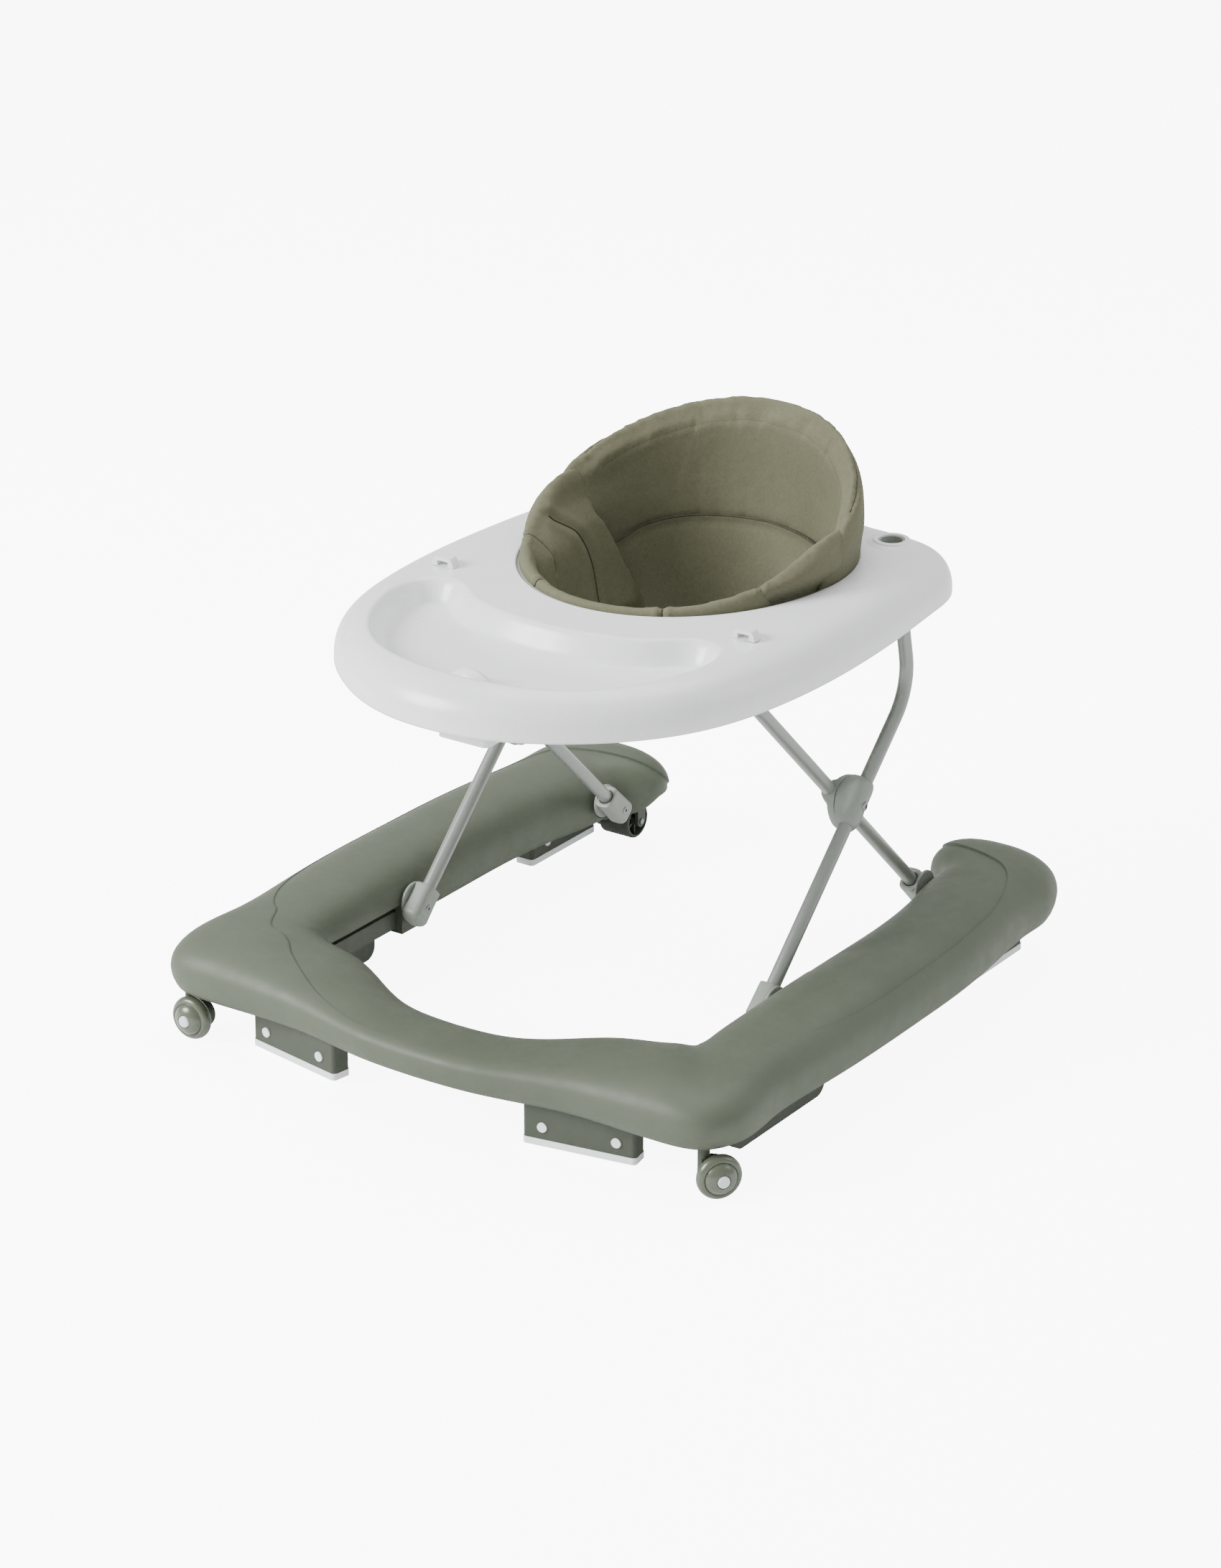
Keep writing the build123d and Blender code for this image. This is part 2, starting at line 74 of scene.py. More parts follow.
def cubic(knots, values, at):
    # natural cubic spline through values at knots, read at the places in at
    step = np.diff(knots)
    count = len(knots)
    left = np.zeros((count, count))
    left[0, 0] = left[-1, -1] = 1
    i = np.arange(1, count - 1)
    left[i, i - 1] = step[:-1]
    left[i, i] = 2 * (step[:-1] + step[1:])
    left[i, i + 1] = step[1:]
    right = np.zeros_like(values)
    right[1:-1] = 6 * np.diff(np.diff(values, axis=0) / step[:, None], axis=0)
    bend = np.linalg.solve(left, right)
    k = np.clip(np.searchsorted(knots, at) - 1, 0, count - 2)
    d, e, h = (at - knots[k])[:, None], (knots[k + 1] - at)[:, None], step[k][:, None]
    return ((bend[k] * e ** 3 + bend[k + 1] * d ** 3) / (6 * h)
            + (values[k] / h - bend[k] * h / 6) * e + (values[k + 1] / h - bend[k + 1] * h / 6) * d)


def smoothLine(points, count, closed=False):
    # a spline through the points, given as count points spaced evenly along it
    p = np.array(points, float)
    if closed:
        p = np.vstack([p[-4:], p, p[:5]])
    knots = runOf(p)
    first, last = (knots[4], knots[-5]) if closed else (knots[0], knots[-1])
    fine = np.linspace(first, last, 12 * len(p) + 1)
    run = runOf(cubic(knots, p, fine))
    fine = np.interp(np.linspace(0, run[-1], count + closed), run, fine)
    return cubic(knots, p, fine)[:count]


def through(places, values, at):
    # a smooth curve of values against places, held flat past both ends
    at = np.asarray(at, float)
    flat = np.clip(at, places[0], places[-1]).ravel()
    got = cubic(np.array(places, float), np.array(values, float)[:, None], flat)
    return got[:, 0].reshape(at.shape)


def ease(x, low, high):
    # 0 below low, 1 above high, smooth between
    t = np.clip((np.asarray(x, float) - low) / (high - low), 0, 1)
    return t * t * (3 - 2 * t)


def gridQuads(nu, nv, wrapU=False, wrapV=False):
    # the corner numbers of the quad in each cell of an nu by nv grid
    i, j = np.meshgrid(np.arange(nu - (not wrapU)), np.arange(nv - (not wrapV)), indexing="ij")
    i2, j2 = (i + 1) % nu, (j + 1) % nv
    return np.stack([i * nv + j, i2 * nv + j, i2 * nv + j2, i * nv + j2], -1).reshape(-1, 4)


def surface(name, grid, wrapU=False, wrapV=False, sharp=42, weld=2e-5, hole=None):
    # a quad for each cell of a grid of points; doubled points are welded, so a row that
    # shrinks to one point closes as a pole. hole says which quads to leave out by their centres
    quads = gridQuads(grid.shape[0], grid.shape[1], wrapU, wrapV)
    points = grid.reshape(-1, 3)
    if hole is not None:
        quads = quads[~hole(points[quads].mean(axis=1))]
    return solidFrom(name, points, quads, sharp, weld)


def linked(name, data):
    # an object for the data, in the scene
    made = bpy.data.objects.new(name, data)
    bpy.context.scene.collection.objects.link(made)
    return made


def solidFrom(name, points, faces, sharp=42, weld=2e-5):
    mesh = bpy.data.meshes.new(name)
    mesh.from_pydata(np.asarray(points, float).tolist(), [], np.asarray(faces).tolist())
    work = bmesh.new()
    work.from_mesh(mesh)
    bmesh.ops.remove_doubles(work, verts=work.verts, dist=weld)
    bmesh.ops.dissolve_degenerate(work, edges=work.edges, dist=1e-6)
    bmesh.ops.recalc_face_normals(work, faces=work.faces)
    work.to_mesh(mesh)
    work.free()
    mesh.polygons.foreach_set("use_smooth", np.ones(len(mesh.polygons), bool))
    if sharp:
        mesh.set_sharp_from_angle(angle=math.radians(sharp))
    return linked(name, mesh)


def tubeGrid(path, radius, around=28, up=(1, 0, 0)):
    # a circle carried along a path and closed at both ends; up is a direction the path never takes
    along = unit(np.gradient(path, axis=0))
    side = unit(np.cross(along, np.array(up, float)))
    over = np.cross(side, along)
    path, side, over = (np.vstack([v[:1], v, v[-1:]]) for v in (path, side, over))
    radius = np.concatenate([[0], np.full(len(path) - 2, radius), [0]])
    turn = wholeTurn(around)
    ring = side[:, None] * np.cos(turn)[:, None] + over[:, None] * np.sin(turn)[:, None]
    return path[:, None] + ring * radius[:, None, None]


def turned(name, profile, centre, axis, around=72, sharp=35):
    # a profile of (distance from the axis, distance along it) turned about the axis
    p = np.array(profile, float)
    axis = unit(np.array(axis, float))
    other = np.array((0, 0, 1.0)) if abs(axis[2]) < 0.9 else np.array((1.0, 0, 0))
    a = unit(np.cross(other, axis))
    b = np.cross(axis, a)
    turn = wholeTurn(around)
    ring = a * np.cos(turn)[:, None] + b * np.sin(turn)[:, None]
    grid = np.array(centre, float) + axis * p[:, None, 1:2] + ring[None] * p[:, None, 0:1]
    return surface(name, grid, wrapV=True, sharp=sharp)


def rounded(corners, radius, steps=5):
    # an open outline with each inner corner replaced by an arc of about the given radius
    p = np.array(corners, float)
    radius = np.broadcast_to(radius, (len(p),))
    out = [p[0]]
    for k in range(1, len(p) - 1):
        a, b = p[k - 1] - p[k], p[k + 1] - p[k]
        la, lb = np.linalg.norm(a), np.linalg.norm(b)
        half = math.acos(np.clip(np.dot(a, b) / (la * lb), -1, 1)) / 2
        back = min(radius[k] / max(math.tan(half), 1e-6), la * 0.49, lb * 0.49)
        if back < 1e-7 or half > 1.56:
            out.append(p[k])
            continue
        start, end = p[k] + a / la * back, p[k] + b / lb * back
        t = np.linspace(0, 1, steps + 1)[:, None]
        out.extend((1 - t) ** 2 * start + 2 * t * (1 - t) * p[k] + t ** 2 * end)
    out.append(p[-1])
    return np.array(out)


def joined(name, parts):
    # several pieces made into one object
    bpy.ops.object.select_all(action="DESELECT")
    for part in parts:
        part.select_set(True)
    bpy.context.view_layer.objects.active = parts[0]
    bpy.ops.object.join()
    parts[0].name = name
    return parts[0]


def place(piece, body, slotName, material, *replaced):
    # what every new piece needs: its finish, its body and what it stands for
    piece.data.materials.clear()
    piece.data.materials.append(material)
    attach(piece, body)
    if replaced:
        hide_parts(*replaced)
    return piece


def modified(piece, kind, **values):
    # one modifier with its settings
    made = piece.modifiers.new(kind.title(), kind)
    for key, value in values.items():
        setattr(made, key, value)
    return made


# Finishes

def tint(red, green, blue):
    # a colour as seen on a screen, 0 to 255, made linear
    c = np.array((red, green, blue)) / 255
    c = np.where(c <= 0.04045, c / 12.92, ((c + 0.055) / 1.055) ** 2.4)
    return (*c, 1.0)


def newMaterial(name):
    made = bpy.data.materials.new(name)
    made.use_nodes = True
    tree = made.node_tree
    coords = tree.nodes.new("ShaderNodeTexCoord")
    return made, tree, tree.nodes["Principled BSDF"], coords.outputs["Object"]


def fill(tree, node, values):
    # a node's inputs: another node's output is linked, a plain value is set
    for name, value in values.items():
        if isinstance(value, bpy.types.NodeSocket):
            tree.links.new(value, node.inputs[name])
        else:
            node.inputs[name].default_value = value


def added(tree, kind, values):
    # a new node with its inputs filled
    node = tree.nodes.new("ShaderNode" + kind)
    fill(tree, node, values)
    return node


def noise(tree, where, scale, detail=3.0, roughness=0.5):
    return added(tree, "TexNoise", {"Vector": where, "Scale": scale, "Detail": detail,
                                    "Roughness": roughness}).outputs["Fac"]


def span(tree, value, low, high):
    # a noise value, which is mostly 0.3 to 0.7, stretched to run from low to high
    return added(tree, "MapRange", {"Value": value, "From Min": 0.3, "From Max": 0.7,
                                    "To Min": low, "To Max": high}).outputs["Result"]


def mixed(tree, amount, first, second):
    node = tree.nodes.new("ShaderNodeMix")
    node.data_type = "RGBA"
    fill(tree, node, {"Factor": amount, "A": first, "B": second})
    return node.outputs["Result"]


def worked(tree, how, *values):
    node = tree.nodes.new("ShaderNodeMath")
    node.operation = how
    fill(tree, node, dict(enumerate(values)))
    return node.outputs[0]


def bumped(tree, shader, height, strength, distance, under=None):
    # a bump laid over the one under it
    values = {"Strength": strength, "Distance": distance, "Height": height}
    if under:
        values["Normal"] = under
    normal = added(tree, "Bump", values).outputs["Normal"]
    tree.links.new(normal, shader.inputs["Normal"])
    return normal


def moulded(name, colour, darker, rough=0.5, grainDepth=0.00003, gloss=0.4, coat=0.0, wave=0.02):
    # moulded plastic: a fine spark-eroded grain, a slow wave from cooling, slight mottling
    made, tree, shader, where = newMaterial(name)
    mottle = span(tree, noise(tree, where, 22.0, 4.0), 0.0, 1.0)
    fill(tree, shader, {
        "Base Color": mixed(tree, mottle, darker, colour), "Specular IOR Level": gloss,
        "Roughness": span(tree, noise(tree, where, 60.0, 5.0), rough - 0.05, rough + 0.05)})
    under = bumped(tree, shader, noise(tree, where, 2600.0, 2.0), 0.35, grainDepth)
    if wave:
        bumped(tree, shader, noise(tree, where, 16.0, 1.0), wave, 0.004, under)
    if coat:
        fill(tree, shader, {"Coat Weight": coat, "Coat Roughness": 0.3})
    return made


def coatedSteel(name, colour, darker):
    # satin powder coat: orange-peel bump under a soft metallic sheen
    made, tree, shader, where = newMaterial(name)
    peel = noise(tree, where, 900.0, 2.0)
    speck = span(tree, noise(tree, where, 3200.0, 1.0), 0.0, 1.0)
    fill(tree, shader, {
        "Base Color": mixed(tree, speck, darker, colour), "Roughness": span(tree, peel, 0.30, 0.42),
        "Metallic": 0.35, "Coat Weight": 0.25, "Coat Roughness": 0.25})
    bumped(tree, shader, peel, 0.25, 0.00006)
    return made


def steel(name, colour):
    # zinc-plated steel with a fine brushed streak
    made, tree, shader, where = newMaterial(name)
    stretch = added(tree, "Mapping", {"Vector": where, "Scale": (40, 900, 900)})
    streak = noise(tree, stretch.outputs["Vector"], 2.0, 2.0)
    fill(tree, shader, {"Base Color": colour, "Metallic": 1.0, "Roughness": span(tree, streak, 0.28, 0.45)})
    bumped(tree, shader, streak, 0.15, 0.00004)
    return made


def wovenCloth(name, colour, darker, lighter):
    # plain weave on the piece's own "weave" map, heathered yarns and soft creases
    made, tree, shader, where = newMaterial(name)
    weave = tree.nodes.new("ShaderNodeAttribute")
    weave.attribute_name = "weave"
    split = added(tree, "SeparateXYZ", {0: weave.outputs["Vector"]})
    perMetre = 2 * math.pi / threadPitch
    waves = [worked(tree, "SINE", worked(tree, "MULTIPLY", split.outputs[axis], perMetre)) for axis in "XY"]
    cross = worked(tree, "MULTIPLY", *waves)
    heather = noise(tree, where, 420.0, 3.0, 0.7)
    cloud = noise(tree, where, 14.0, 3.0)
    ground = mixed(tree, span(tree, cloud, 0.0, 1.0), darker, colour)
    fill(tree, shader, {
        "Base Color": mixed(tree, span(tree, heather, 0.0, 0.35), ground, lighter),
        "Roughness": 0.82, "Specular IOR Level": 0.25,
        "Sheen Weight": 0.12, "Sheen Roughness": 0.45, "Sheen Tint": lighter})
    under = bumped(tree, shader, cross, 0.30, 0.00012)
    under = bumped(tree, shader, noise(tree, where, 30.0, 3.0, 0.55), 0.35, 0.004, under)
    bumped(tree, shader, noise(tree, where, 90.0, 2.0), 0.25, 0.0012, under)
    return made


threadPitch = 1.1 * mm      # of the weave
basePlastic = moulded("basePlastic", tint(81, 89, 74), tint(77, 85, 70), rough=0.54)
darkPlastic = moulded("darkPlastic", tint(64, 71, 59), tint(60, 67, 55), rough=0.48)
wheelPlastic = moulded("wheelPlastic", tint(80, 88, 71), tint(76, 84, 67), rough=0.28, gloss=0.5, coat=0.5)
tyrePlastic = moulded("tyrePlastic", tint(62, 68, 57), tint(58, 64, 53), rough=0.5)
jointPlastic = moulded("jointPlastic", tint(136, 143, 134), tint(132, 139, 130), rough=0.38)
trayPlastic = moulded("trayPlastic", tint(232, 233, 235), tint(229, 230, 232), rough=0.26,
                      grainDepth=0.00001, gloss=0.5, wave=0)
gripRubber = moulded("gripRubber", tint(246, 248, 249), tint(240, 243, 244), rough=0.75, gloss=0.25)
plugPlastic = moulded("plugPlastic", tint(243, 246, 247), tint(238, 242, 243), rough=0.55)
capPlastic = moulded("capPlastic", tint(222, 229, 232), tint(216, 223, 227), rough=0.25, coat=0.4)
leverPlastic = moulded("leverPlastic", tint(205, 208, 208), tint(199, 202, 203), rough=0.45)
hoopPlastic = moulded("hoopPlastic", tint(150, 155, 147), tint(144, 149, 141), rough=0.6)
tubePaint = coatedSteel("tubePaint", tint(140, 145, 139), tint(132, 137, 131))
plainSteel = steel("plainSteel", tint(140, 143, 146))
seatCloth = wovenCloth("seatCloth", tint(97, 97, 77), tint(88, 88, 69), tint(115, 115, 93))
# the seam thread is much darker than the cloth: real stitching, with painted shade in the seams' grooves
seamThreadAndShade = wovenCloth("seamThreadAndShade", tint(62, 61, 47), tint(52, 51, 40), tint(84, 82, 64))

slotFinish = {
    "base_green": basePlastic, "dark_green": darkPlastic, "wheel_green": wheelPlastic,
    "rear_wheel_green": tyrePlastic, "joint_grey": jointPlastic, "tray_white": trayPlastic,
    "grip_grey": gripRubber, "plug_white": plugPlastic, "cap_white": capPlastic,
    "lever_grey": leverPlastic, "hoop_grey": hoopPlastic, "tube_grey": tubePaint,
    "steel": plainSteel, "seat_fabric": seatCloth,
}
for part in frame["record"]["subparts"]:
    mesh = nodes[part["node"]].data
    mesh.materials.clear()
    mesh.materials.append(slotFinish[part["material_slot"]])
print("finishes ready")


# Base moulding

base = {
    "bulge": 66 * mm,          # height of the widest part of the side walls
    "low": 48,                 # height of the lower edge
    "tuck": 6 * mm,            # how far the outer lower edge tucks in
    "wall": 3 * mm,
    "railWindow": (-188, -24, 67.3),   # where the inner wall is cut away over the rail
    "square": 0.85,            # how square the arch is: 1 is an ellipse
    "along": 250,              # rows in each half
    "across": 150,             # columns of the arch before the shroud's edge is laid in
    "raise": 2.6 * mm,         # how far the inner bulge lifts over the rail
    "step": 1.1 * mm, "lipStep": 2.2 * mm,   # how proud the shroud stands, and its rear lip
    "endRings": [(0.9, 0.7), (0.7, 1.3), (0.4, 1.7), (0.0, 1.8)],   # share of the end, reach
}
# right half: inner point, outer point and crown height, from the middle of the crossbar
# round the corner, down the arm and round its closed end
baseStations = [
    (0, -262, 0, -336, 80), (60, -255, 60, -333, 81), (105, -233, 108, -325, 85),
    (146, -211, 152, -319, 91), (184, -202, 204, -318, 96), (200, -197, 256, -318, 99),
    (206, -191, 296, -308, 97), (208.5, -183, 314, -275, 97), (208.5, -165, 312, -215, 98),
    (208.5, -130, 313, -140, 100), (208.5, -60, 316, -60, 102), (208.5, 30, 316, 30, 102),
    (208, 110, 314, 110, 102), (201, 180, 307, 180, 103), (193, 235, 301, 235, 104),
    (190, 256, 300, 256, 104.5), (178, 270, 299.5, 270, 105), (165, 283, 298, 283, 105),
    (160, 300, 293, 300, 103), (166, 317, 284, 317, 97), (181, 329, 270, 329, 88),
    (200, 336, 253, 336, 76),
]
# where the outer shroud's edge lies: distance along the base from its middle, share of the
# way across from the inner edge; left of the middle it crosses the corner to the front face
creaseRight = [(336, 0.586), (384, 0.70), (451, 0.747), (572, 0.735), (641, 0.724), (703, 0.722),
               (745, 0.67), (770, 0.585), (790, 0.47), (806, 0.32), (818, 0.16), (828, 0.04), (840, 0.0)]
creaseFront = [(-311, 0.471), (-265, 0.425), (-220, 0.435), (-173, 0.575), (-136, 0.69), (-71, 0.73),
               (-19, 0.716), (35, 0.712), (84, 0.70), (129, 0.69), (230, 0.63)]


def archGrid(rows, innerLow, outerLow, window):
    # across each row, a flattened arch from the inner lower edge over the crown to the outer
    # lower edge: superellipse above the bulge height, a short drawn-in skirt below it
    inner = rows[:, None, 0:2] * mm
    outer = rows[:, None, 2:4] * mm
    across = unit(outer - inner)
    half = np.linalg.norm(outer - inner, axis=2)[..., None] / 2
    middle = (inner + outer) / 2
    angle = np.linspace(math.pi, 0, base["across"])[None, :, None]
    side = squared(np.cos(angle), base["square"])
    rise = np.abs(np.sin(angle)) ** base["square"]
    bulge = base["bulge"] + base["raise"] * window[:, None, None] * (1 - side) / 2
    height = bulge + (rows[:, None, 4:5] * mm - bulge) * rise
    top = np.concatenate([middle + across * half * side, height], axis=2)
    skirt = np.linspace(0, 1, 9)[None, :, None]

    def edge(start, direction, low, drawIn):
        at = top[:, [start]]
        drawIn = np.broadcast_to(drawIn, (len(rows),))[:, None, None]
        drop = (at[..., 2:] - low[:, None, None] * mm) * skirt
        return np.concatenate([at[..., :2] + direction * drawIn * skirt ** 2, at[..., 2:] - drop], axis=2)

    inside = edge(0, across, innerLow, 2 * mm * (1 - window))[:, :0:-1]
    outside = edge(-1, -across, outerLow, base["tuck"])[:, 1:]
    return np.concatenate([inside, top, outside], axis=1)


def lowEdges(rows):
    # the inner lower edge rises over the rail, and both rise over the rear wheel
    low, high, top = base["railWindow"]
    y = rows[:, 1]
    arm = np.abs(rows[:, 0]) > 200
    window = ease(y, low - 1, low + 1) * (1 - ease(y, high - 1, high + 1)) * arm
    inner = base["low"] + (top - base["low"]) * window + 15 * ease(y, 268, 300)
    outer = base["low"] + 12 * ease(y, 296, 326)
    return inner, outer, window


def resampled(grid, shares):
    # the grid read again across each row at its own shares, 0 to 1
    at = np.clip(shares, 0, 1) * (grid.shape[1] - 1)
    k = np.minimum(at.astype(int), grid.shape[1] - 2)
    part = (at - k)[..., None]
    low = np.take_along_axis(grid, k[..., None], axis=1)
    high = np.take_along_axis(grid, k[..., None] + 1, axis=1)
    return low * (1 - part) + high * part


def creased(grid, run):
    # a column of the grid is laid along the shroud's edge, and what lies outside it stands proud
    right = np.array(creaseRight)
    knots = np.vstack([right[::-1] * (-1, 1), creaseFront, right])
    edge = np.interp(run, knots[:, 0], knots[:, 1])
    soft = np.exp(-0.5 * (np.arange(-12, 13) / 5.0) ** 2)
    edge = np.convolve(np.pad(edge, 12, mode="edge"), soft / soft.sum(), mode="valid")
    away = np.abs(run)
    strength = np.where(run < 300, 1 - ease(run, 95, 175), ease(run, 300, 355))
    height = base["step"] * strength + (base["lipStep"] - base["step"]) * ease(away, 745, 790)
    share = np.concatenate([np.linspace(0, 0.93, 38), (0.96, 0.98, 0.992, 1.0)])
    rest = np.concatenate([(0.006, 0.013, 0.03), np.linspace(0.06, 1, 52)])
    inside = share[None, :] * edge[:, None]
    outside = edge[:, None] + rest[None, :] * (1 - edge[:, None])
    grid = resampled(grid, np.concatenate([inside, outside], axis=1))
    lift = np.concatenate([np.zeros(len(share)), (0.75, 1.0), np.ones(len(rest) - 2)])
    along = np.gradient(grid, axis=0)
    across = np.gradient(grid, axis=1)
    normal = np.cross(across, along)
    normal /= np.linalg.norm(normal, axis=2)[..., None] + 1e-12
    return grid + normal * (lift[None, :] * height[:, None])[..., None]


def makeBase():
    right = smoothLine(baseStations, base["along"])
    left = right[:0:-1] * np.array((-1, 1, -1, 1, 1.0))
    rows = np.vstack([left, right])
    run = runOf((rows[:, :2] + rows[:, 2:4]) / 2)
    run -= run[-1] / 2
    inner, outer, window = lowEdges(rows)
    grid = creased(archGrid(rows, inner, outer, window), run)
    ends = []
    for tip in (grid[:1], grid[-1:]):
        centre = tip.mean(axis=1, keepdims=True)
        ends.append([centre + (tip - centre) * share + np.array((0, reach * mm, 0))
                     for share, reach in base["endRings"]])
    grid = np.concatenate(ends[0][::-1] + [grid] + ends[1])
    shell = surface("baseMoulding", grid, sharp=34, weld=1e-5)
    modified(shell, "SOLIDIFY", thickness=base["wall"], offset=-1.0)
    place(shell, "base", "base_green", basePlastic, "front_crossbar", "right_side_arm", "left_side_arm",
          "right_rear_end_cap", "left_rear_end_cap")
    print("base moulding made")


makeBase()


# Frame tubes

scissor = {
    "tube": 6.75 * mm,
    "rearPivot": (244, 64.5), "frontPivot": (-61, 64.5), "cross": (91.5, 212),
    "trayPivot": (164.7, 380), "rearX": 177.6, "frontX": 195.8, "crossTube": 370.0,
    "bendReach": 126.0, "topBend": 38 * mm, "sideBend": 60 * mm, "spacing": 12 * mm,
}


def towards(a, b):
    return unit(np.array(b, float) - np.array(a, float))


upForward = towards(scissor["rearPivot"], scissor["cross"])
upBack = towards(scissor["frontPivot"], scissor["cross"])
legLine = {"front_legs": upBack, "rear_legs": upForward}


def onLine(start, direction, distance, x):
    return np.array((x, start[0] + direction[0] * distance, start[1] + direction[1] * distance)) * mm


def arcPath(corners, radius):
    # straight runs joined by arcs of one radius, with extra points along the straight runs
    p = [np.array(c, float) for c in corners]
    out = [p[0]]
    for k in range(1, len(p) - 1):
        a, b = unit(p[k - 1] - p[k]), unit(p[k + 1] - p[k])
        half = math.acos(np.dot(a, b)) / 2
        back = radius / math.tan(half)
        centre = p[k] + unit(a + b) * radius / math.sin(half)
        start, end = p[k] + a * back - centre, p[k] + b * back - centre
        sweep = math.pi - 2 * half
        t = np.linspace(0, 1, 14)[:, None]
        out.extend(centre + (start * np.sin((1 - t) * sweep) + end * np.sin(t * sweep)) / math.sin(sweep))
    out.append(p[-1])
    p = np.array(out)
    run = runOf(p)
    even = np.unique(np.concatenate([run, np.arange(0, run[-1], scissor["spacing"])]))
    return np.stack([np.interp(even, run, p[:, c]) for c in range(3)], axis=1)


def makeTubes():
    s = scissor
    topY = s["cross"][0] + (s["crossTube"] - s["cross"][1]) * upForward[0] / upForward[1]
    foot = onLine(s["rearPivot"], upForward, 15, s["rearX"])
    top = np.array((s["rearX"], topY, s["crossTube"])) * mm
    flip = np.array((-1, 1, 1.0))
    path = arcPath([foot, top, top * flip, foot * flip], s["topBend"])
    grid = tubeGrid(path, s["tube"], 36, up=(0, upForward[1], -upForward[0]))
    place(surface("rearLegTube", grid, wrapV=True), "rear_legs", "tube_grey", tubePaint, "rear_leg_tube")
    bend = onLine(s["cross"], upBack, s["bendReach"], s["frontX"])
    rise = towards(bend[1:] / mm, s["trayPivot"])
    foot = onLine(s["frontPivot"], upBack, 15, s["frontX"])
    end = onLine(s["trayPivot"], rise, 7, s["frontX"])
    path = arcPath([foot, bend, end], s["sideBend"])
    for side, sign in sides:
        grid = tubeGrid(path * np.array((sign, 1, 1.0)), s["tube"], 36)
        place(surface(side + "FrontLegTube", grid, wrapV=True), "front_legs", "tube_grey", tubePaint,
              side + "_front_leg_tube")
    print("tubes made")


makeTubes()


# Tray

tray = {
    "low": 372, "top": 414, "wall": 2.6,
    "openingX": 155, "openingFront": 180, "openingRear": 158, "openingY": 110,
    "recessDepth": 22.0, "wallOut": 6.5, "wallIn": 12.0,
    "boss": (139, 238), "bossHole": 12.4,
    "around": 350,
    "rim": [(0, 0), (0.4, 10), (4, 21.5), (12, 31.5), (24, 38), (38, 41.3)],   # inset, height
    "lip": -28,                    # how far the opening's lip goes down
    "bump": (-2, -236, 15.0), "bumpSize": (23, 11),     # swelling in the recess's front wall
    "ringSeat": (17, 25, 2.2),     # swelling under each rear ring: inner and outer radius, height
}
# right half of the outer edge and of the play recess, from the middle of the front
trayEdge = [
    (0, -303), (45, -298), (86, -283), (128, -256), (163, -224), (190, -187), (210, -140),
    (222, -80), (227, -15), (226, 55), (220, 130), (212, 195), (202, 244), (178, 276),
    (134, 291), (70, 296), (0, 299),
]
recessEdge = [
    (0, -262), (50, -256), (95, -238), (132, -206), (156, -165), (166, -122), (156, -88),
    (132, -84), (104, -104), (62, -122), (0, -130),
]


def wholeLoop(half, count):
    left = [(-x, y) for x, y in half[-2:0:-1]]
    return smoothLine(half + left, count, closed=True)


def openingPoint(angle, inset=0.0):
    # the seat opening: half an ellipse in front, a shorter one behind; angle 0 is the front
    t = tray
    reach = np.where(np.cos(angle) > 0, t["openingFront"], t["openingRear"]) - inset
    return np.stack([(t["openingX"] - inset) * np.sin(angle),
                     t["openingY"] - reach * np.cos(angle)], axis=-1)


def depthInside(points, loop):
    # signed distance from points to a closed loop, positive inside
    a = loop
    b = np.roll(loop, -1, axis=0)
    p = points.reshape(-1, 2)
    best = np.full(len(p), 1e9)
    wraps = np.zeros(len(p))
    for k in range(len(a)):
        edge = b[k] - a[k]
        t = np.clip(((p - a[k]) @ edge) / (edge @ edge), 0, 1)[:, None]
        best = np.minimum(best, np.hypot(*(p - a[k] - t * edge).T))
        u, v = p - a[k], p - b[k]
        wraps += np.arctan2(u[:, 0] * v[:, 1] - u[:, 1] * v[:, 0], (u * v).sum(1))
    return np.where(np.abs(wraps) > math.pi, best, -best).reshape(points.shape[:-1])


def trayGrid():
    # rows run from the lower outer edge over the rounded rim and the flat to the opening's lip
    t = tray
    outer = wholeLoop(trayEdge, t["around"])
    tangent = np.roll(outer, -1, axis=0) - np.roll(outer, 1, axis=0)
    normal = unit(np.stack([-tangent[:, 1], tangent[:, 0]], axis=1))
    bearing = np.arctan2(outer[:, 0] / t["openingX"], -(outer[:, 1] - t["openingY"]) / 170)
    inner = openingPoint(bearing, -4.0)
    rimWide, rimHigh = t["rim"][-1]
    rim = smoothLine(t["rim"], 26)
    gap = np.linalg.norm(inner - outer, axis=1)
    fit = np.minimum(1.0, gap * 0.82 / rimWide)[:, None, None]
    rollIn = outer[:, None] + normal[:, None] * rim[None, :, 0:1] * fit
    rollZ = np.broadcast_to(t["low"] + rim[:, 1], rollIn.shape[:2])
    share = (np.linspace(0, 1, 96) ** 0.92)[None, 1:, None]
    flat = rollIn[:, -1:] + (inner[:, None] - rollIn[:, -1:]) * share
    flatZ = t["low"] + rimHigh + (t["top"] - t["low"] - rimHigh) * ease(share[..., 0], 0, 0.5)
    flatZ = np.broadcast_to(flatZ, flat.shape[:2])
    lip = rounded([(-4, 0), (0, 0), (0, t["lip"])], 4.0, 8)[1:]
    lipXY = np.stack([openingPoint(bearing, a) for a, _ in lip], axis=1)
    lipZ = np.broadcast_to(t["top"] + lip[:, 1], lipXY.shape[:2])
    flatXY = np.concatenate([rollIn, flat], axis=1)
    height = np.concatenate([rollZ, flatZ], axis=1)
    height = height - recessDepthAt(flatXY) + swellAt(flatXY)
    grid = np.concatenate([flatXY, height[..., None]], axis=2)
    lipGrid = np.concatenate([lipXY, lipZ[..., None]], axis=2)
    return np.concatenate([grid, lipGrid], axis=1) * mm


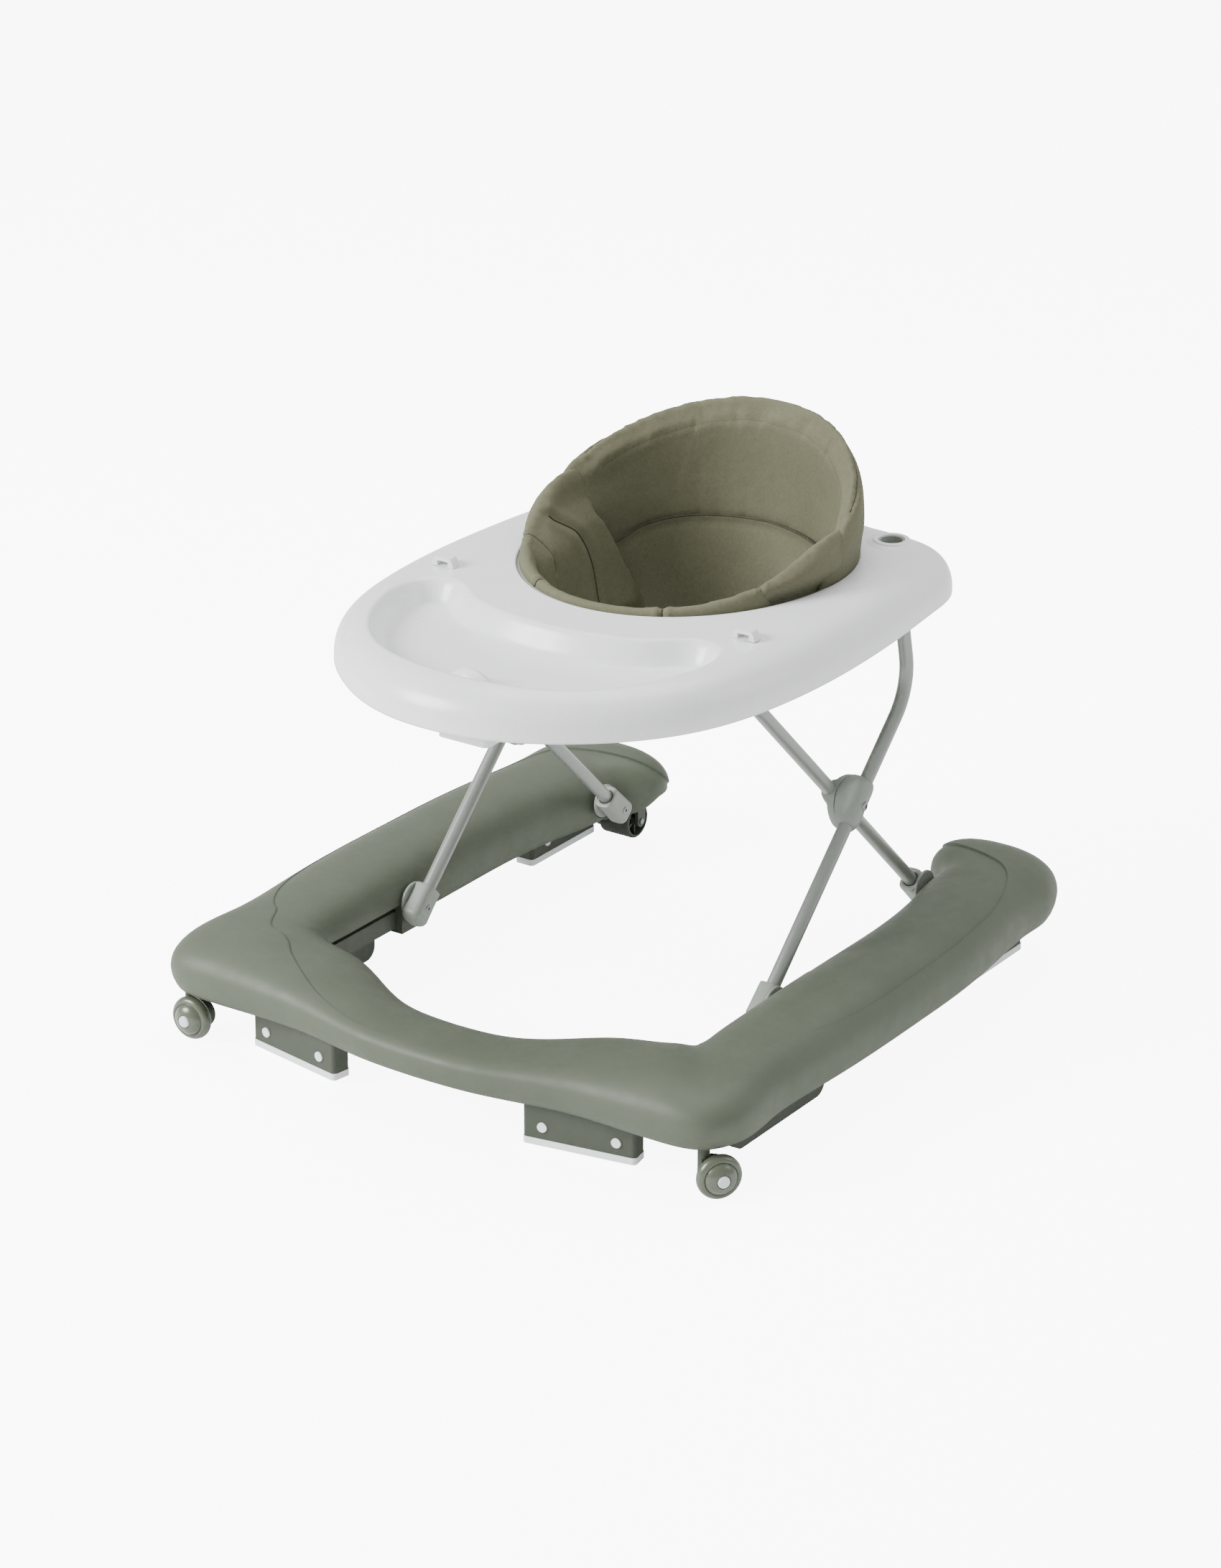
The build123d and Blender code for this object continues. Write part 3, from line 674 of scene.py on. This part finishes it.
def recessDepthAt(points):
    t = tray
    inside = depthInside(points, wholeLoop(recessEdge, 160))
    return t["recessDepth"] * ease(inside, -t["wallOut"], t["wallIn"])


def swellAt(points):
    # soft swellings: the bump in the recess's front wall and the seats of the rear rings
    x, y = points[..., 0], points[..., 1]
    bumpX, bumpY, bumpHigh = tray["bump"]
    wide, deep = tray["bumpSize"]
    bump = bumpHigh * np.exp(-(((x - bumpX) / wide) ** 2 + ((y - bumpY) / deep) ** 2) ** 1.4)
    inner, outer, high = tray["ringSeat"]
    ring = 0.0
    for sign in (1, -1):
        away = np.hypot(x - sign * tray["boss"][0], y - tray["boss"][1])
        ring = ring + high * (1 - ease(away, inner, outer))
    return bump * ease(recessDepthAt(points), 0.5, 12) + ring


def makeTray():
    t = tray
    boss = np.array(t["boss"])

    def inRing(centre):
        away = np.stack([np.abs(centre[:, 0]), centre[:, 1]], 1) / mm - boss
        return np.linalg.norm(away, axis=1) < t["bossHole"] + 2.6

    shell = surface("trayShell", trayGrid(), wrapU=True, sharp=70, hole=inRing)
    modified(shell, "SOLIDIFY", thickness=t["wall"] * mm, offset=-1.0)
    parts = [shell]
    for name, sign in sides:
        r = t["bossHole"]
        corners = [(r + 8.0, -1.2), (r + 6.2, 1.4), (r + 4.6, 3.6), (r, 3.6), (r - 0.4, -15), (r - 0.4, -19)]
        outline = rounded(corners, [0, 3, 2.2, 1.6, 1, 0], 6)
        centre = np.array((sign * t["boss"][0], t["boss"][1], t["top"])) * mm
        parts.append(turned(name + "TrayRing", outline * mm, centre, (0, 0, 1), sharp=60))
        modified(parts[-1], "SOLIDIFY", thickness=1.6 * mm, offset=-1.0)
        place(parts[-1], "tray", "tray_white", trayPlastic)
        # a grey-green sleeve lining each ring's bore: painted shade, standing in for the darkness inside the
        # hole
        bore = rounded([(r - 0.6, 2.2), (r - 0.6, -24), (r - 1.8, -24), (r - 1.8, 2.2), (r - 0.6, 2.2)], 0.3)
        shadeSleeve = turned(name + "RingShadeSleeve", bore * mm, centre, (0, 0, 1), sharp=40)
        place(shadeSleeve, "tray", "hoop_grey", hoopPlastic)
    place(shell, "tray", "tray_white", trayPlastic, "tray_shell")
    print("tray made")


makeTray()


# Padded seat

seat = {
    "clear": 4.0,               # how far inside the opening the fabric stands
    "thick": 14.0,
    "voxel": 0.0045, "pressure": 4.0, "frames": 20,
    "backCap": 0.005, "wingCap": 0.0045, "rollCap": 0.004,      # most the cloth may swell
    # height of the back's rim against distance back
    "rimY": [96, 112, 130, 155, 190, 222, 243, 256], "rimZ": [443, 458, 470, 484, 500, 513, 521, 526],
    # inset of the fabric wall against height
    "wallZ": [262, 280, 305, 330, 352, 385, 406, 430], "wallIn": [114, 86, 60, 44, 35.5, 28.5, 26, 25.5],
    # height of the seam between lower seat and back against bearing
    "seamAt": [-180, -172, -151, -130, -118, -109, -100, -60, 0, 60, 106, 118, 140, 161, 180],
    "seamZ": [406, 406, 405.5, 401, 393, 386, 392, 396, 396, 396, 386, 392, 399, 403, 406],
    # height of the side wings' lower and upper edges and of the front roll against bearing
    "wingLowAt": [48, 62, 110], "wingLowZ": [352, 330, 312],
    "wingAt": [48, 58, 64, 72, 80, 90, 100, 110], "wingZ": [428, 432, 438, 447, 458, 465, 465, 459],
    "rollAt": [0, 20, 35, 48, 64, 70], "rollZ": [418, 418.5, 420.5, 425, 434, 438],
    "wingFold": [(72, 448), (80, 428), (87, 400), (90, 370), (89, 340)],     # bearing, height
    "wingEnd": [(400, 3), (428, 3), (437, 11), (430, 19), (392, 24)],        # height, inset
    "backSpan": (84, 276), "wingSpan": (48, 104), "rollSpan": (-66, 66),     # bearings of the ends
    "backTuck": 26, "rollBottom": 386, "wingSlant": 25, "rollSeam": 28,
    "legHole": (68, 22, 46), "legTop": 366, "bottom": 272,      # centre and radius; heights
}


def offFront(angle):
    # degrees from the front, 0 to 180 on each side
    return np.degrees(np.abs(angle))


def wrapped(angle):
    # the same bearing between half a turn to the left and half a turn to the right
    return np.radians((np.degrees(angle) + 180) % 360 - 180)


def bandGrid(ends, count, bottom, top, inner, thick, steps=44, lean=None, tip=7, slant=0.0):
    # a closed rounded section carried round the opening from one bearing to another; at both
    # ends the section shrinks to a point along a quarter circle. slant carries the high end
    # on round as it goes down.
    bearing = np.radians(np.linspace(*ends, count))
    turn = wholeTurn(steps)
    across = squared(np.cos(turn), 0.6)
    up = squared(np.sin(turn), 0.55)
    z0, z1 = bottom(bearing), top(bearing)
    middle, half = (z0 + z1) / 2, (z1 - z0) / 2
    run = np.linspace(0, 1, count)
    near = np.minimum(run, 1 - run) * (count - 1)
    close = np.sqrt(np.clip(1 - (1 - np.clip(near / tip, 0, 1)) ** 2, 0, 1))
    z = middle[:, None] + half[:, None] * up * close[:, None]
    depth = inner(bearing)[:, None] + thick(bearing)[:, None] / 2 * across * close[:, None]
    if lean is not None:
        depth = depth + lean(bearing[:, None], z)
    spot = bearing[:, None] + np.radians(slant) * run[:, None] * np.clip((415 - z) / 100, 0, 1)
    xy = openingPoint(spot, depth)
    return np.concatenate([xy, z[..., None]], axis=2) * mm


def applied(piece, kind, **values):
    bpy.ops.object.modifier_apply(modifier=modified(piece, kind, **values).name)


def puffed(piece, cap):
    # remeshed evenly and blown up by a cloth simulation, each point held within cap of its start
    bpy.context.view_layer.objects.active = piece
    bpy.ops.object.select_all(action="DESELECT")
    piece.select_set(True)
    applied(piece, "REMESH", mode="VOXEL", voxel_size=seat["voxel"])
    rest = coordinates(piece)
    cloth = piece.modifiers.new("Cloth", "CLOTH")
    cloth.settings.use_pressure = True
    cloth.settings.uniform_pressure_force = seat["pressure"]
    cloth.settings.effector_weights.gravity = 0
    cloth.settings.quality = 4
    cloth.point_cache.frame_end = seat["frames"]
    for step in range(1, seat["frames"] + 1):
        bpy.context.scene.frame_set(step)
    held = piece.evaluated_get(bpy.context.evaluated_depsgraph_get())
    shift = coordinates(held) - rest
    length = np.linalg.norm(shift, axis=1)[:, None]
    shift *= np.minimum(1, cap / np.maximum(length, 1e-9))
    piece.modifiers.remove(cloth)
    bpy.context.scene.frame_set(1)
    setCoordinates(piece, rest + shift)
    applied(piece, "SMOOTH", factor=0.5, iterations=3)
    applied(piece, "SUBSURF", levels=1, render_levels=1)
    piece.data.polygons.foreach_set("use_smooth", np.ones(len(piece.data.polygons), bool))
    return piece


def coordinates(piece, what="co"):
    flat = np.empty(len(piece.data.vertices) * 3)
    piece.data.vertices.foreach_get(what, flat)
    return flat.reshape(-1, 3)


def setCoordinates(piece, points):
    piece.data.vertices.foreach_set("co", np.ascontiguousarray(points, float).ravel())
    piece.data.update()


def weaveMap(piece):
    # thread coordinates: round the opening, and up and over
    p = coordinates(piece)
    x, y = p[:, 0], p[:, 1] - tray["openingY"] * mm
    around = np.arctan2(x, -y) * 0.15
    up = p[:, 2] + 0.6 * np.hypot(x, y)
    data = piece.data.attributes.new("weave", "FLOAT_VECTOR", "POINT")
    data.data.foreach_set("vector", np.stack([around, up, 0 * up], axis=1).ravel())


def seamOn(piece, line, depth=0.0016, width=0.007, shadeThread=0.0007):
    # a seam: the cloth is drawn in along a line laid on the piece, with a dark thread in the groove; the
    # thread is real stitching, and its darkness is painted shade in the groove
    tree = BVHTree.FromObject(piece, bpy.context.evaluated_depsgraph_get())
    hits = [tree.find_nearest(Vector(point)) for point in smoothLine(line, 120)]
    spots = np.array([tuple(hit[0]) for hit in hits])
    outward = np.array([tuple(hit[1]) for hit in hits])
    p = coordinates(piece)
    near = np.full(len(p), 1e9)
    for spot in spots:
        near = np.minimum(near, np.linalg.norm(p - spot, axis=1))
    groove = np.exp(-(near / (width * 0.42)) ** 2)
    beside = 0.5 * np.exp(-((near - width) / (width * 0.5)) ** 2)     # the cloth swells next to it
    pull = depth * groove - depth * beside
    setCoordinates(piece, p - coordinates(piece, "normal") * pull[:, None])
    path = spots - outward * depth * 0.75
    grid = tubeGrid(path, shadeThread, 8, up=(0.13, 0.21, 0.97))
    return surface("seam", grid, wrapV=True, sharp=0)


def wallPoint(angle, z, inset):
    x, y = openingPoint(np.radians(angle), inset)
    return (x * mm, y * mm, z * mm)


def backTop(bearing):
    # the back's rim, lowest at its front ends
    y = openingPoint(bearing, 12.0)[..., 1]
    return through(seat["rimY"], seat["rimZ"], y)


def backLine(first, last, below, inset):
    # a line round the back, so far below its rim
    return [wallPoint(a, float(backTop(np.radians(a))) - below, inset) for a in np.linspace(first, last, 25)]


def seatWallInset(z):
    # how far in from the opening the fabric wall stands at each height
    return through(seat["wallZ"], seat["wallIn"], z)


def slingTop(bearing):
    # where the lower seat is sewn to the back: an arc, highest in the middle of the back
    return through(seat["seamAt"], seat["seamZ"], np.degrees(bearing))


def makeSeat():
    s = seat
    threadShadeLines = []
    middle = s["clear"] + s["thick"] / 2

    def flat(value):
        # the same value at every bearing
        return lambda bearing: np.full(np.shape(bearing), float(value))

    def swell(bearing, z):
        # the sides stand out over the tray, most beside the hips
        return -8 * np.exp(-((offFront(bearing) - 95) / 32) ** 2) * ease(z, 414, 450)

    def backLean(bearing, z):
        return 2.5 * ease(z, 440, 520) + swell(wrapped(bearing), z)

    def backBottom(bearing):
        return slingTop(wrapped(bearing)) - s["backTuck"]

    back = bandGrid(s["backSpan"], 180, backBottom, backTop, flat(middle), flat(s["thick"]),
                    lean=backLean, tip=12)
    back = surface("seatBackPad", back, wrapV=True)
    puffed(back, s["backCap"])
    threadShadeLines.append(seamOn(back, backLine(108, 252, 24, 20), 0.0004, 0.006, 0.0001))
    threadShadeLines.append(seamOn(back, backLine(104, 256, 7, 2), 0.0014, 0.005))
    weaveMap(back)
    place(back, "tray", "seat_fabric", seatCloth, "seat_back_pad")

    def wingTop(bearing):
        return through(s["wingAt"], s["wingZ"], offFront(bearing))

    def wingBottom(bearing):
        return through(s["wingLowAt"], s["wingLowZ"], offFront(bearing))

    def wingLean(bearing, z):
        inward = 0.5 + 0.5 * ease(offFront(bearing), 50, 70)
        return (seatWallInset(z) + 1.0 - middle) * ease(436 - z, 0, 34) * inward + swell(bearing, z)

    for side, sign in sides:
        wing = bandGrid(s["wingSpan"], 110, wingBottom, wingTop, flat(middle), flat(s["thick"] + 2),
                        lean=wingLean, slant=s["wingSlant"], tip=9)
        wing = surface(side + "SideWing", wing * (sign, 1, 1), wrapV=True)
        puffed(wing, s["wingCap"])
        end = [wallPoint(sign * 61, z, inset) for z, inset in s["wingEnd"]]
        threadShadeLines.append(seamOn(wing, end, 0.0014, 0.006, 0.0002))
        fold = [wallPoint(sign * a, z, float(seatWallInset(z)) + 9) for a, z in s["wingFold"]]
        threadShadeLines.append(seamOn(wing, fold, 0.0018, 0.010, 0.0005))
        weaveMap(wing)
        place(wing, "tray", "seat_fabric", seatCloth, side + "_seat_side_wing")

    def rollTop(bearing):
        return through(s["rollAt"], s["rollZ"], offFront(bearing))

    roll = bandGrid(s["rollSpan"], 130, flat(s["rollBottom"]), rollTop, flat(middle), flat(s["thick"]))
    roll = surface("seatFrontRoll", roll, wrapV=True)
    puffed(roll, s["rollCap"])
    for angle in (-s["rollSeam"], s["rollSeam"]):
        top = float(rollTop(np.radians(abs(angle))))
        line = [wallPoint(angle, z, inset) for z, inset in
                ((396, 4), (top - 6, 4), (top, 11), (top - 6, 18), (398, 18))]
        threadShadeLines.append(seamOn(roll, line, 0.0015, 0.006))
    weaveMap(roll)
    place(roll, "tray", "seat_fabric", seatCloth, "seat_front_pad")

    makeSling(threadShadeLines)
    # the seat's seam threads in one piece: real stitching, darker than the cloth as painted shade along the
    # seams
    seamThreadsAndShade = joined("seatSeamThreadsAndShade", threadShadeLines)
    place(seamThreadsAndShade, "tray", "seat_fabric", seamThreadAndShade)
    print("seat made")


def makeSling(threadShadeLines):
    # the cloth bowl: it hangs from its sewn top edge, drawn in as it goes down to a rounded
    # bottom that is lowest under the back
    bearing = np.linspace(-math.pi, math.pi, 260, endpoint=False)
    top = slingTop(bearing)
    drop = np.concatenate([np.linspace(0, 1, 64), np.ones(10)])
    under = np.concatenate([np.zeros(64), np.linspace(0.15, 1.5, 10)])
    z = top[:, None] - (top[:, None] - seat["bottom"]) * drop
    inset = seatWallInset(z) + 60 * (1 - np.cos(under))
    z = z - 10 * np.sin(under)
    spot = np.repeat(bearing[:, None], len(drop), axis=1)
    xy = openingPoint(spot, inset)
    fold = 1.5 * np.sin(spot * 9 + 1.3 * np.sin(spot * 4)) * ease(392 - z, 0, 70)
    outward = xy - np.array((0, tray["openingY"]))
    outward /= np.linalg.norm(outward, axis=2)[..., None] + 1e-9
    xy = xy + outward * fold[..., None] * 0.8
    lift = 0.30 * np.clip(70 - xy[..., 1], 0, 140) * ease(350 - z, 0, 75)
    grid = np.concatenate([xy, (z + fold * 0.5 + lift)[..., None]], axis=2) * mm
    points = grid.reshape(-1, 3)
    quads = gridQuads(grid.shape[0], grid.shape[1], wrapU=True)
    keepFace = np.ones(len(quads), bool)
    holeX, holeY, holeR = seat["legHole"]
    for sign in (1, -1):
        hole = np.array((sign * holeX, holeY)) * mm
        away = points[:, :2] - hole
        length = np.linalg.norm(away, axis=1)[:, None]
        low = points[:, 2:] < seat["legTop"] * mm
        nearEdge = low & (length > (holeR - 3.5) * mm) & (length < (holeR + 3) * mm)
        points[:, :2] = np.where(nearEdge, hole + away / (length + 1e-9) * holeR * mm, points[:, :2])
        centre = points[quads].mean(axis=1)
        off = np.linalg.norm(centre[:, :2] - hole, axis=1)
        keepFace &= ~((off < (holeR - 0.5) * mm) & (centre[:, 2] < seat["legTop"] * mm))
    sling = solidFrom("seatSling", points, quads[keepFace], sharp=0)
    arc = [(a, float(slingTop(np.radians((a + 180) % 360 - 180))) - 1.0) for a in np.linspace(108, 252, 25)]
    arc = [wallPoint(a, z, float(seatWallInset(z)) - 1) for a, z in arc]
    threadShadeLines.append(seamOn(sling, arc, 0.0012, 0.008, 0.0013))
    weaveMap(sling)
    modified(sling, "SOLIDIFY", thickness=1.6 * mm, offset=0.0)
    place(sling, "tray", "seat_fabric", seatCloth, "seat_sling")


makeSeat()


# Wheels and joints of the frame

casters = {
    "x": 286.5, "y": -294.5, "near": 6.0, "trail": 10.0, "height": 21.0,
    "turn": {"right": -35.6, "left": -90.0},
    # distance from the axle and along it: flat back, rounded tread, groove, domed face
    "wheel": [(3.1, 0.0), (16.5, 0.0), (17.4, 0.4), (19.8, 1.6), (20.8, 3.4), (21.0, 5.6), (20.5, 8.2),
              (19.2, 10.3), (17.4, 11.4), (16.0, 11.5), (15.3, 10.9), (14.9, 11.4), (14.2, 13.0),
              (12.0, 15.2), (9.0, 16.9), (6.7, 17.6), (6.3, 17.2), (6.2, 15.6), (3.1, 15.5)],
    "cap": [(0.0, 15.6), (5.6, 15.6), (5.7, 17.6), (5.2, 18.4), (4.0, 18.9), (2.0, 19.2), (0.0, 19.3)],
}


def makeCasters():
    for side, sign in sides:
        turn = math.radians(casters["turn"][side])
        out = np.array((math.cos(turn), math.sin(turn), 0))
        back = np.array((-out[1], out[0], 0))
        hub = np.array((sign * casters["x"], casters["y"], casters["height"])) + back * casters["trail"]
        start = (hub + out * casters["near"]) * mm
        profile = np.array(casters["wheel"] + casters["wheel"][:1]) * mm
        wheel = turned(side + "CasterWheel", profile, start, out, around=96, sharp=50)
        place(wheel, side + "_caster_roller", "wheel_green", wheelPlastic, side + "_caster_wheel")
        cap = turned(side + "CasterCap", np.array(casters["cap"]) * mm, start, out, around=48, sharp=50)
        place(cap, side + "_caster_roller", "cap_white", capPlastic)


def plateGrid(reach, rise, steps=120):
    # a domed plate seen from above: rays of the given reach, height falling to 0 at the rim
    angle = wholeTurn(steps)
    share = np.concatenate([np.linspace(0, 0.8, 22), 1 - 0.2 * (1 - np.linspace(0, 1, 22)[1:]) ** 2])
    edge = reach(angle)
    u = share[:, None] * edge * np.cos(angle)
    v = share[:, None] * edge * np.sin(angle)
    return u, v, rise(u, v) * (1 - share[:, None] ** 9) ** 0.34


clamp = {
    "split": 186.7, "shadeSleeve": 12.5, "plate": 13.5, "reach": [27, 23, 24, 29, 26, 23, 26, 25],
}


def clampReach(angle):
    # reach of the clamp's rim at eight bearings, filled in smoothly
    values = np.array(clamp["reach"] * 3, float)
    knots = np.arange(-8, 16) * math.pi / 4
    return cubic(knots, values[:, None], np.asarray(angle, float).ravel())[:, 0].reshape(np.shape(angle))


def makeClamps():
    crossing = np.array(scissor["cross"], float)
    for side, sign in sides:
        for kind, body, x, out in (("outer", "front_legs", scissor["frontX"], 1),
                                   ("inner", "rear_legs", scissor["rearX"], -1)):
            d = legLine[body]
            over = np.array((d[1], -d[0])) * out
            high = abs(x + out * 10 - clamp["split"])

            def rise(u, v):
                ridge = np.sqrt(np.clip(1 - (v / clamp["shadeSleeve"]) ** 2, 0, 1))
                plate = clamp["plate"] * (1 - 0.12 * (u ** 2 + v ** 2) / 500)
                return np.maximum(plate, high * (0.35 + 0.65 * ridge)) * 0.5 + 0.5 * np.sqrt(
                    plate ** 2 * 0.5 + (high * ridge) ** 2 * 0.75)

            u, v, h = plateGrid(clampReach, rise)
            y = crossing[0] + u * d[0] + v * over[0]
            z = crossing[1] + u * d[1] + v * over[1]
            grid = np.stack([sign * (clamp["split"] + out * (0.3 + h)), y, z], axis=2)
            rim = grid[-1:].copy()
            rim[..., 0] = sign * (clamp["split"] + out * 0.3)
            back = np.broadcast_to(rim.mean(axis=1, keepdims=True), rim.shape)
            shell = surface(side + kind.title() + "Clamp", np.concatenate([grid, rim, back]) * mm,
                            wrapV=True, sharp=48)
            place(shell, body, "joint_grey", jointPlastic, f"{side}_{kind}_cross_clamp")


feet = {
    "front": {"body": "front_legs", "x": scissor["frontX"], "pivot": scissor["frontPivot"],
              "low": -19.0, "high": 20.0, "across": 13.4, "wide": 10.5, "disc": 18.0, "discAt": (3, 3),
              "discX": (8.2, 11.2)},
    "rear": {"body": "rear_legs", "x": scissor["rearX"], "pivot": scissor["rearPivot"],
             "low": -16.0, "high": 28.0, "across": 12.6, "wide": 10.2, "disc": 17.0, "discAt": (-9, 9),
             "discX": (7.6, 10.6)},
}


def footGrid(low, high, across, wide, tube=7.3, around=56):
    # a rounded box along the tube: round below, its upper end open round the tube with a lip
    turn = wholeTurn(around)
    c, s = np.cos(turn), np.sin(turn)
    box = np.stack([squared(c, 0.55), squared(s, 0.55)], 1)
    circle = np.stack([c, s], 1)
    lower = np.linspace(0, math.pi / 2, 12)
    rows = [(low + 9 * (1 - math.cos(t)), math.sin(t) ** 0.7, 1.0) for t in lower]
    rows += [(low + (high - low) * t, 1.0 - 0.06 * t, 1.0) for t in np.linspace(0.22, 0.97, 16)]
    rows += [(high - 0.5, 0.925, 1.0), (high, 0.88, 1.0)]
    outer = [box * (across * size, wide * size) for _, size, _ in rows]
    along = [at for at, _, _ in rows]
    for at, radius in ((high, tube + 1.2), (high - 0.5, tube + 0.4), (high - 4.0, tube), (high - 4.2, 0.0)):
        outer.append(circle * radius)
        along.append(at)
    return np.array(along), np.array(outer)


def makeFeet():
    for side, sign in sides:
        for kind, foot in feet.items():
            along, ring = footGrid(foot["low"], foot["high"], foot["across"], foot["wide"])
            d = legLine[foot["body"]]
            over = np.array((d[1], -d[0]))
            y = foot["pivot"][0] + along[:, None] * d[0] + ring[..., 0] * over[0]
            z = foot["pivot"][1] + along[:, None] * d[1] + ring[..., 0] * over[1]
            grid = np.stack([sign * (foot["x"] + ring[..., 1]), y, z], axis=2) * mm
            box = surface(f"{side}{kind.title()}FootBox", grid, wrapV=True, sharp=50)
            r, (x0, x1) = foot["disc"], foot["discX"]
            rim = rounded([(0, 0), (r, 0), (r, x1 - x0), (0, x1 - x0)], 1.2)
            pivot = np.array(foot["pivot"]) + foot["discAt"]
            centre = np.array((sign * (foot["x"] + x0), pivot[0], pivot[1])) * mm
            disc = turned("disc", rim * mm, centre, (sign, 0, 0), around=72, sharp=40)
            whole = joined(f"{side}{kind.title()}Foot", [box, disc])
            place(whole, foot["body"], "joint_grey", jointPlastic, f"{side}_{kind}_foot_housing")


screws = {"clampX": 206.4, "shoeX": 185.4, "pinX": 167.3}      # where each head sits


def screwHead(centre, axis, radius):
    # a pan-head screw in a shallow counterbore, with a socket
    profile = np.array([(0, -0.9), (0.42, -0.9), (0.5, 0.55), (0.8, 0.5), (1.0, 0.15), (1.05, -0.8)])
    profile = profile * (radius, 1.2)
    return turned("screwHead", profile * mm, np.array(centre, float) * mm, axis, around=40, sharp=30)


def makeScrews():
    heads = []
    for sign in (1, -1):
        heads.append(screwHead((sign * screws["clampX"], *scissor["cross"]), (sign, 0, 0), 4.2))
        heads.append(screwHead((sign * screws["shoeX"], *scissor["frontPivot"]), (-sign, 0, 0), 3.4))
    place(joined("frameScrews", heads), "front_legs", "steel", plainSteel, "frame_screws")
    pins = [screwHead((sign * screws["pinX"], *scissor["rearPivot"]), (-sign, 0, 0), 3.6) for sign in (1, -1)]
    place(joined("rearPivotScrews", pins), "base", "steel", plainSteel, "rear_pivot_pins")


makeCasters()
makeClamps()
makeFeet()
makeScrews()
print("wheels and joints made")


# Stage, light and camera

view = {
    "camera": (2281.6, -3308.6, 1896.2), "azimuth": 34.78, "elevation": 22.68, "lens": 107.44,
}
# place, size and power
lamps = {
    "keyLight": ((-2.4, -2.8, 2.4), 2.0, 310), "topLight": ((-0.4, 0.9, 3.4), 2.4, 70),
    "rimLight": ((2.8, 1.6, 2.4), 1.8, 22),
}


def glowing(tree, lit, seen):
    # one strength for the light it gives and another as the camera sees it
    path = tree.nodes.new("ShaderNodeLightPath")
    return added(tree, "MapRange", {"Value": path.outputs["Is Camera Ray"], "To Min": lit,
                                    "To Max": seen}).outputs["Result"]


def makeStage():
    bpy.ops.mesh.primitive_plane_add(size=160, location=(0, 0, 0))
    floor = bpy.context.object
    floor.name = "paleFloor"
    made, tree, shader, _ = newMaterial("paleFloor")
    fill(tree, shader, {
        "Base Color": (0.9, 0.9, 0.9, 1), "Roughness": 0.9, "Specular IOR Level": 0.1,
        "Emission Color": (1, 1, 1, 1), "Emission Strength": glowing(tree, 0.35, 8.0)})
    floor.data.materials.append(made)
    world = bpy.data.worlds.new("studio")
    bpy.context.scene.world = world
    world.use_nodes = True
    tree = world.node_tree
    fill(tree, tree.nodes["Background"], {"Color": (1, 1, 1, 1), "Strength": glowing(tree, 0.8, 9.0)})
    for name, (spot, size, power) in lamps.items():
        light = bpy.data.lights.new(name, "AREA")
        light.shape = "DISK"
        light.size = size
        light.energy = power
        lamp = linked(name, light)
        lamp.location = spot
        aim = Vector((0, 0, 0.25)) - Vector(spot)
        lamp.rotation_euler = aim.to_track_quat("-Z", "Y").to_euler()


def makeCamera():
    a, e = math.radians(view["azimuth"]), math.radians(view["elevation"])
    look = Vector((-math.sin(a) * math.cos(e), math.cos(a) * math.cos(e), -math.sin(e)))
    data = bpy.data.cameras.new("camera")
    data.sensor_fit = "VERTICAL"
    data.sensor_height = 36.0
    data.lens = view["lens"]
    data.clip_end = 100
    camera = linked("camera", data)
    camera.location = Vector(view["camera"]) * mm
    camera.rotation_euler = look.to_track_quat("-Z", "Y").to_euler()
    bpy.context.scene.camera = camera


makeStage()
makeCamera()
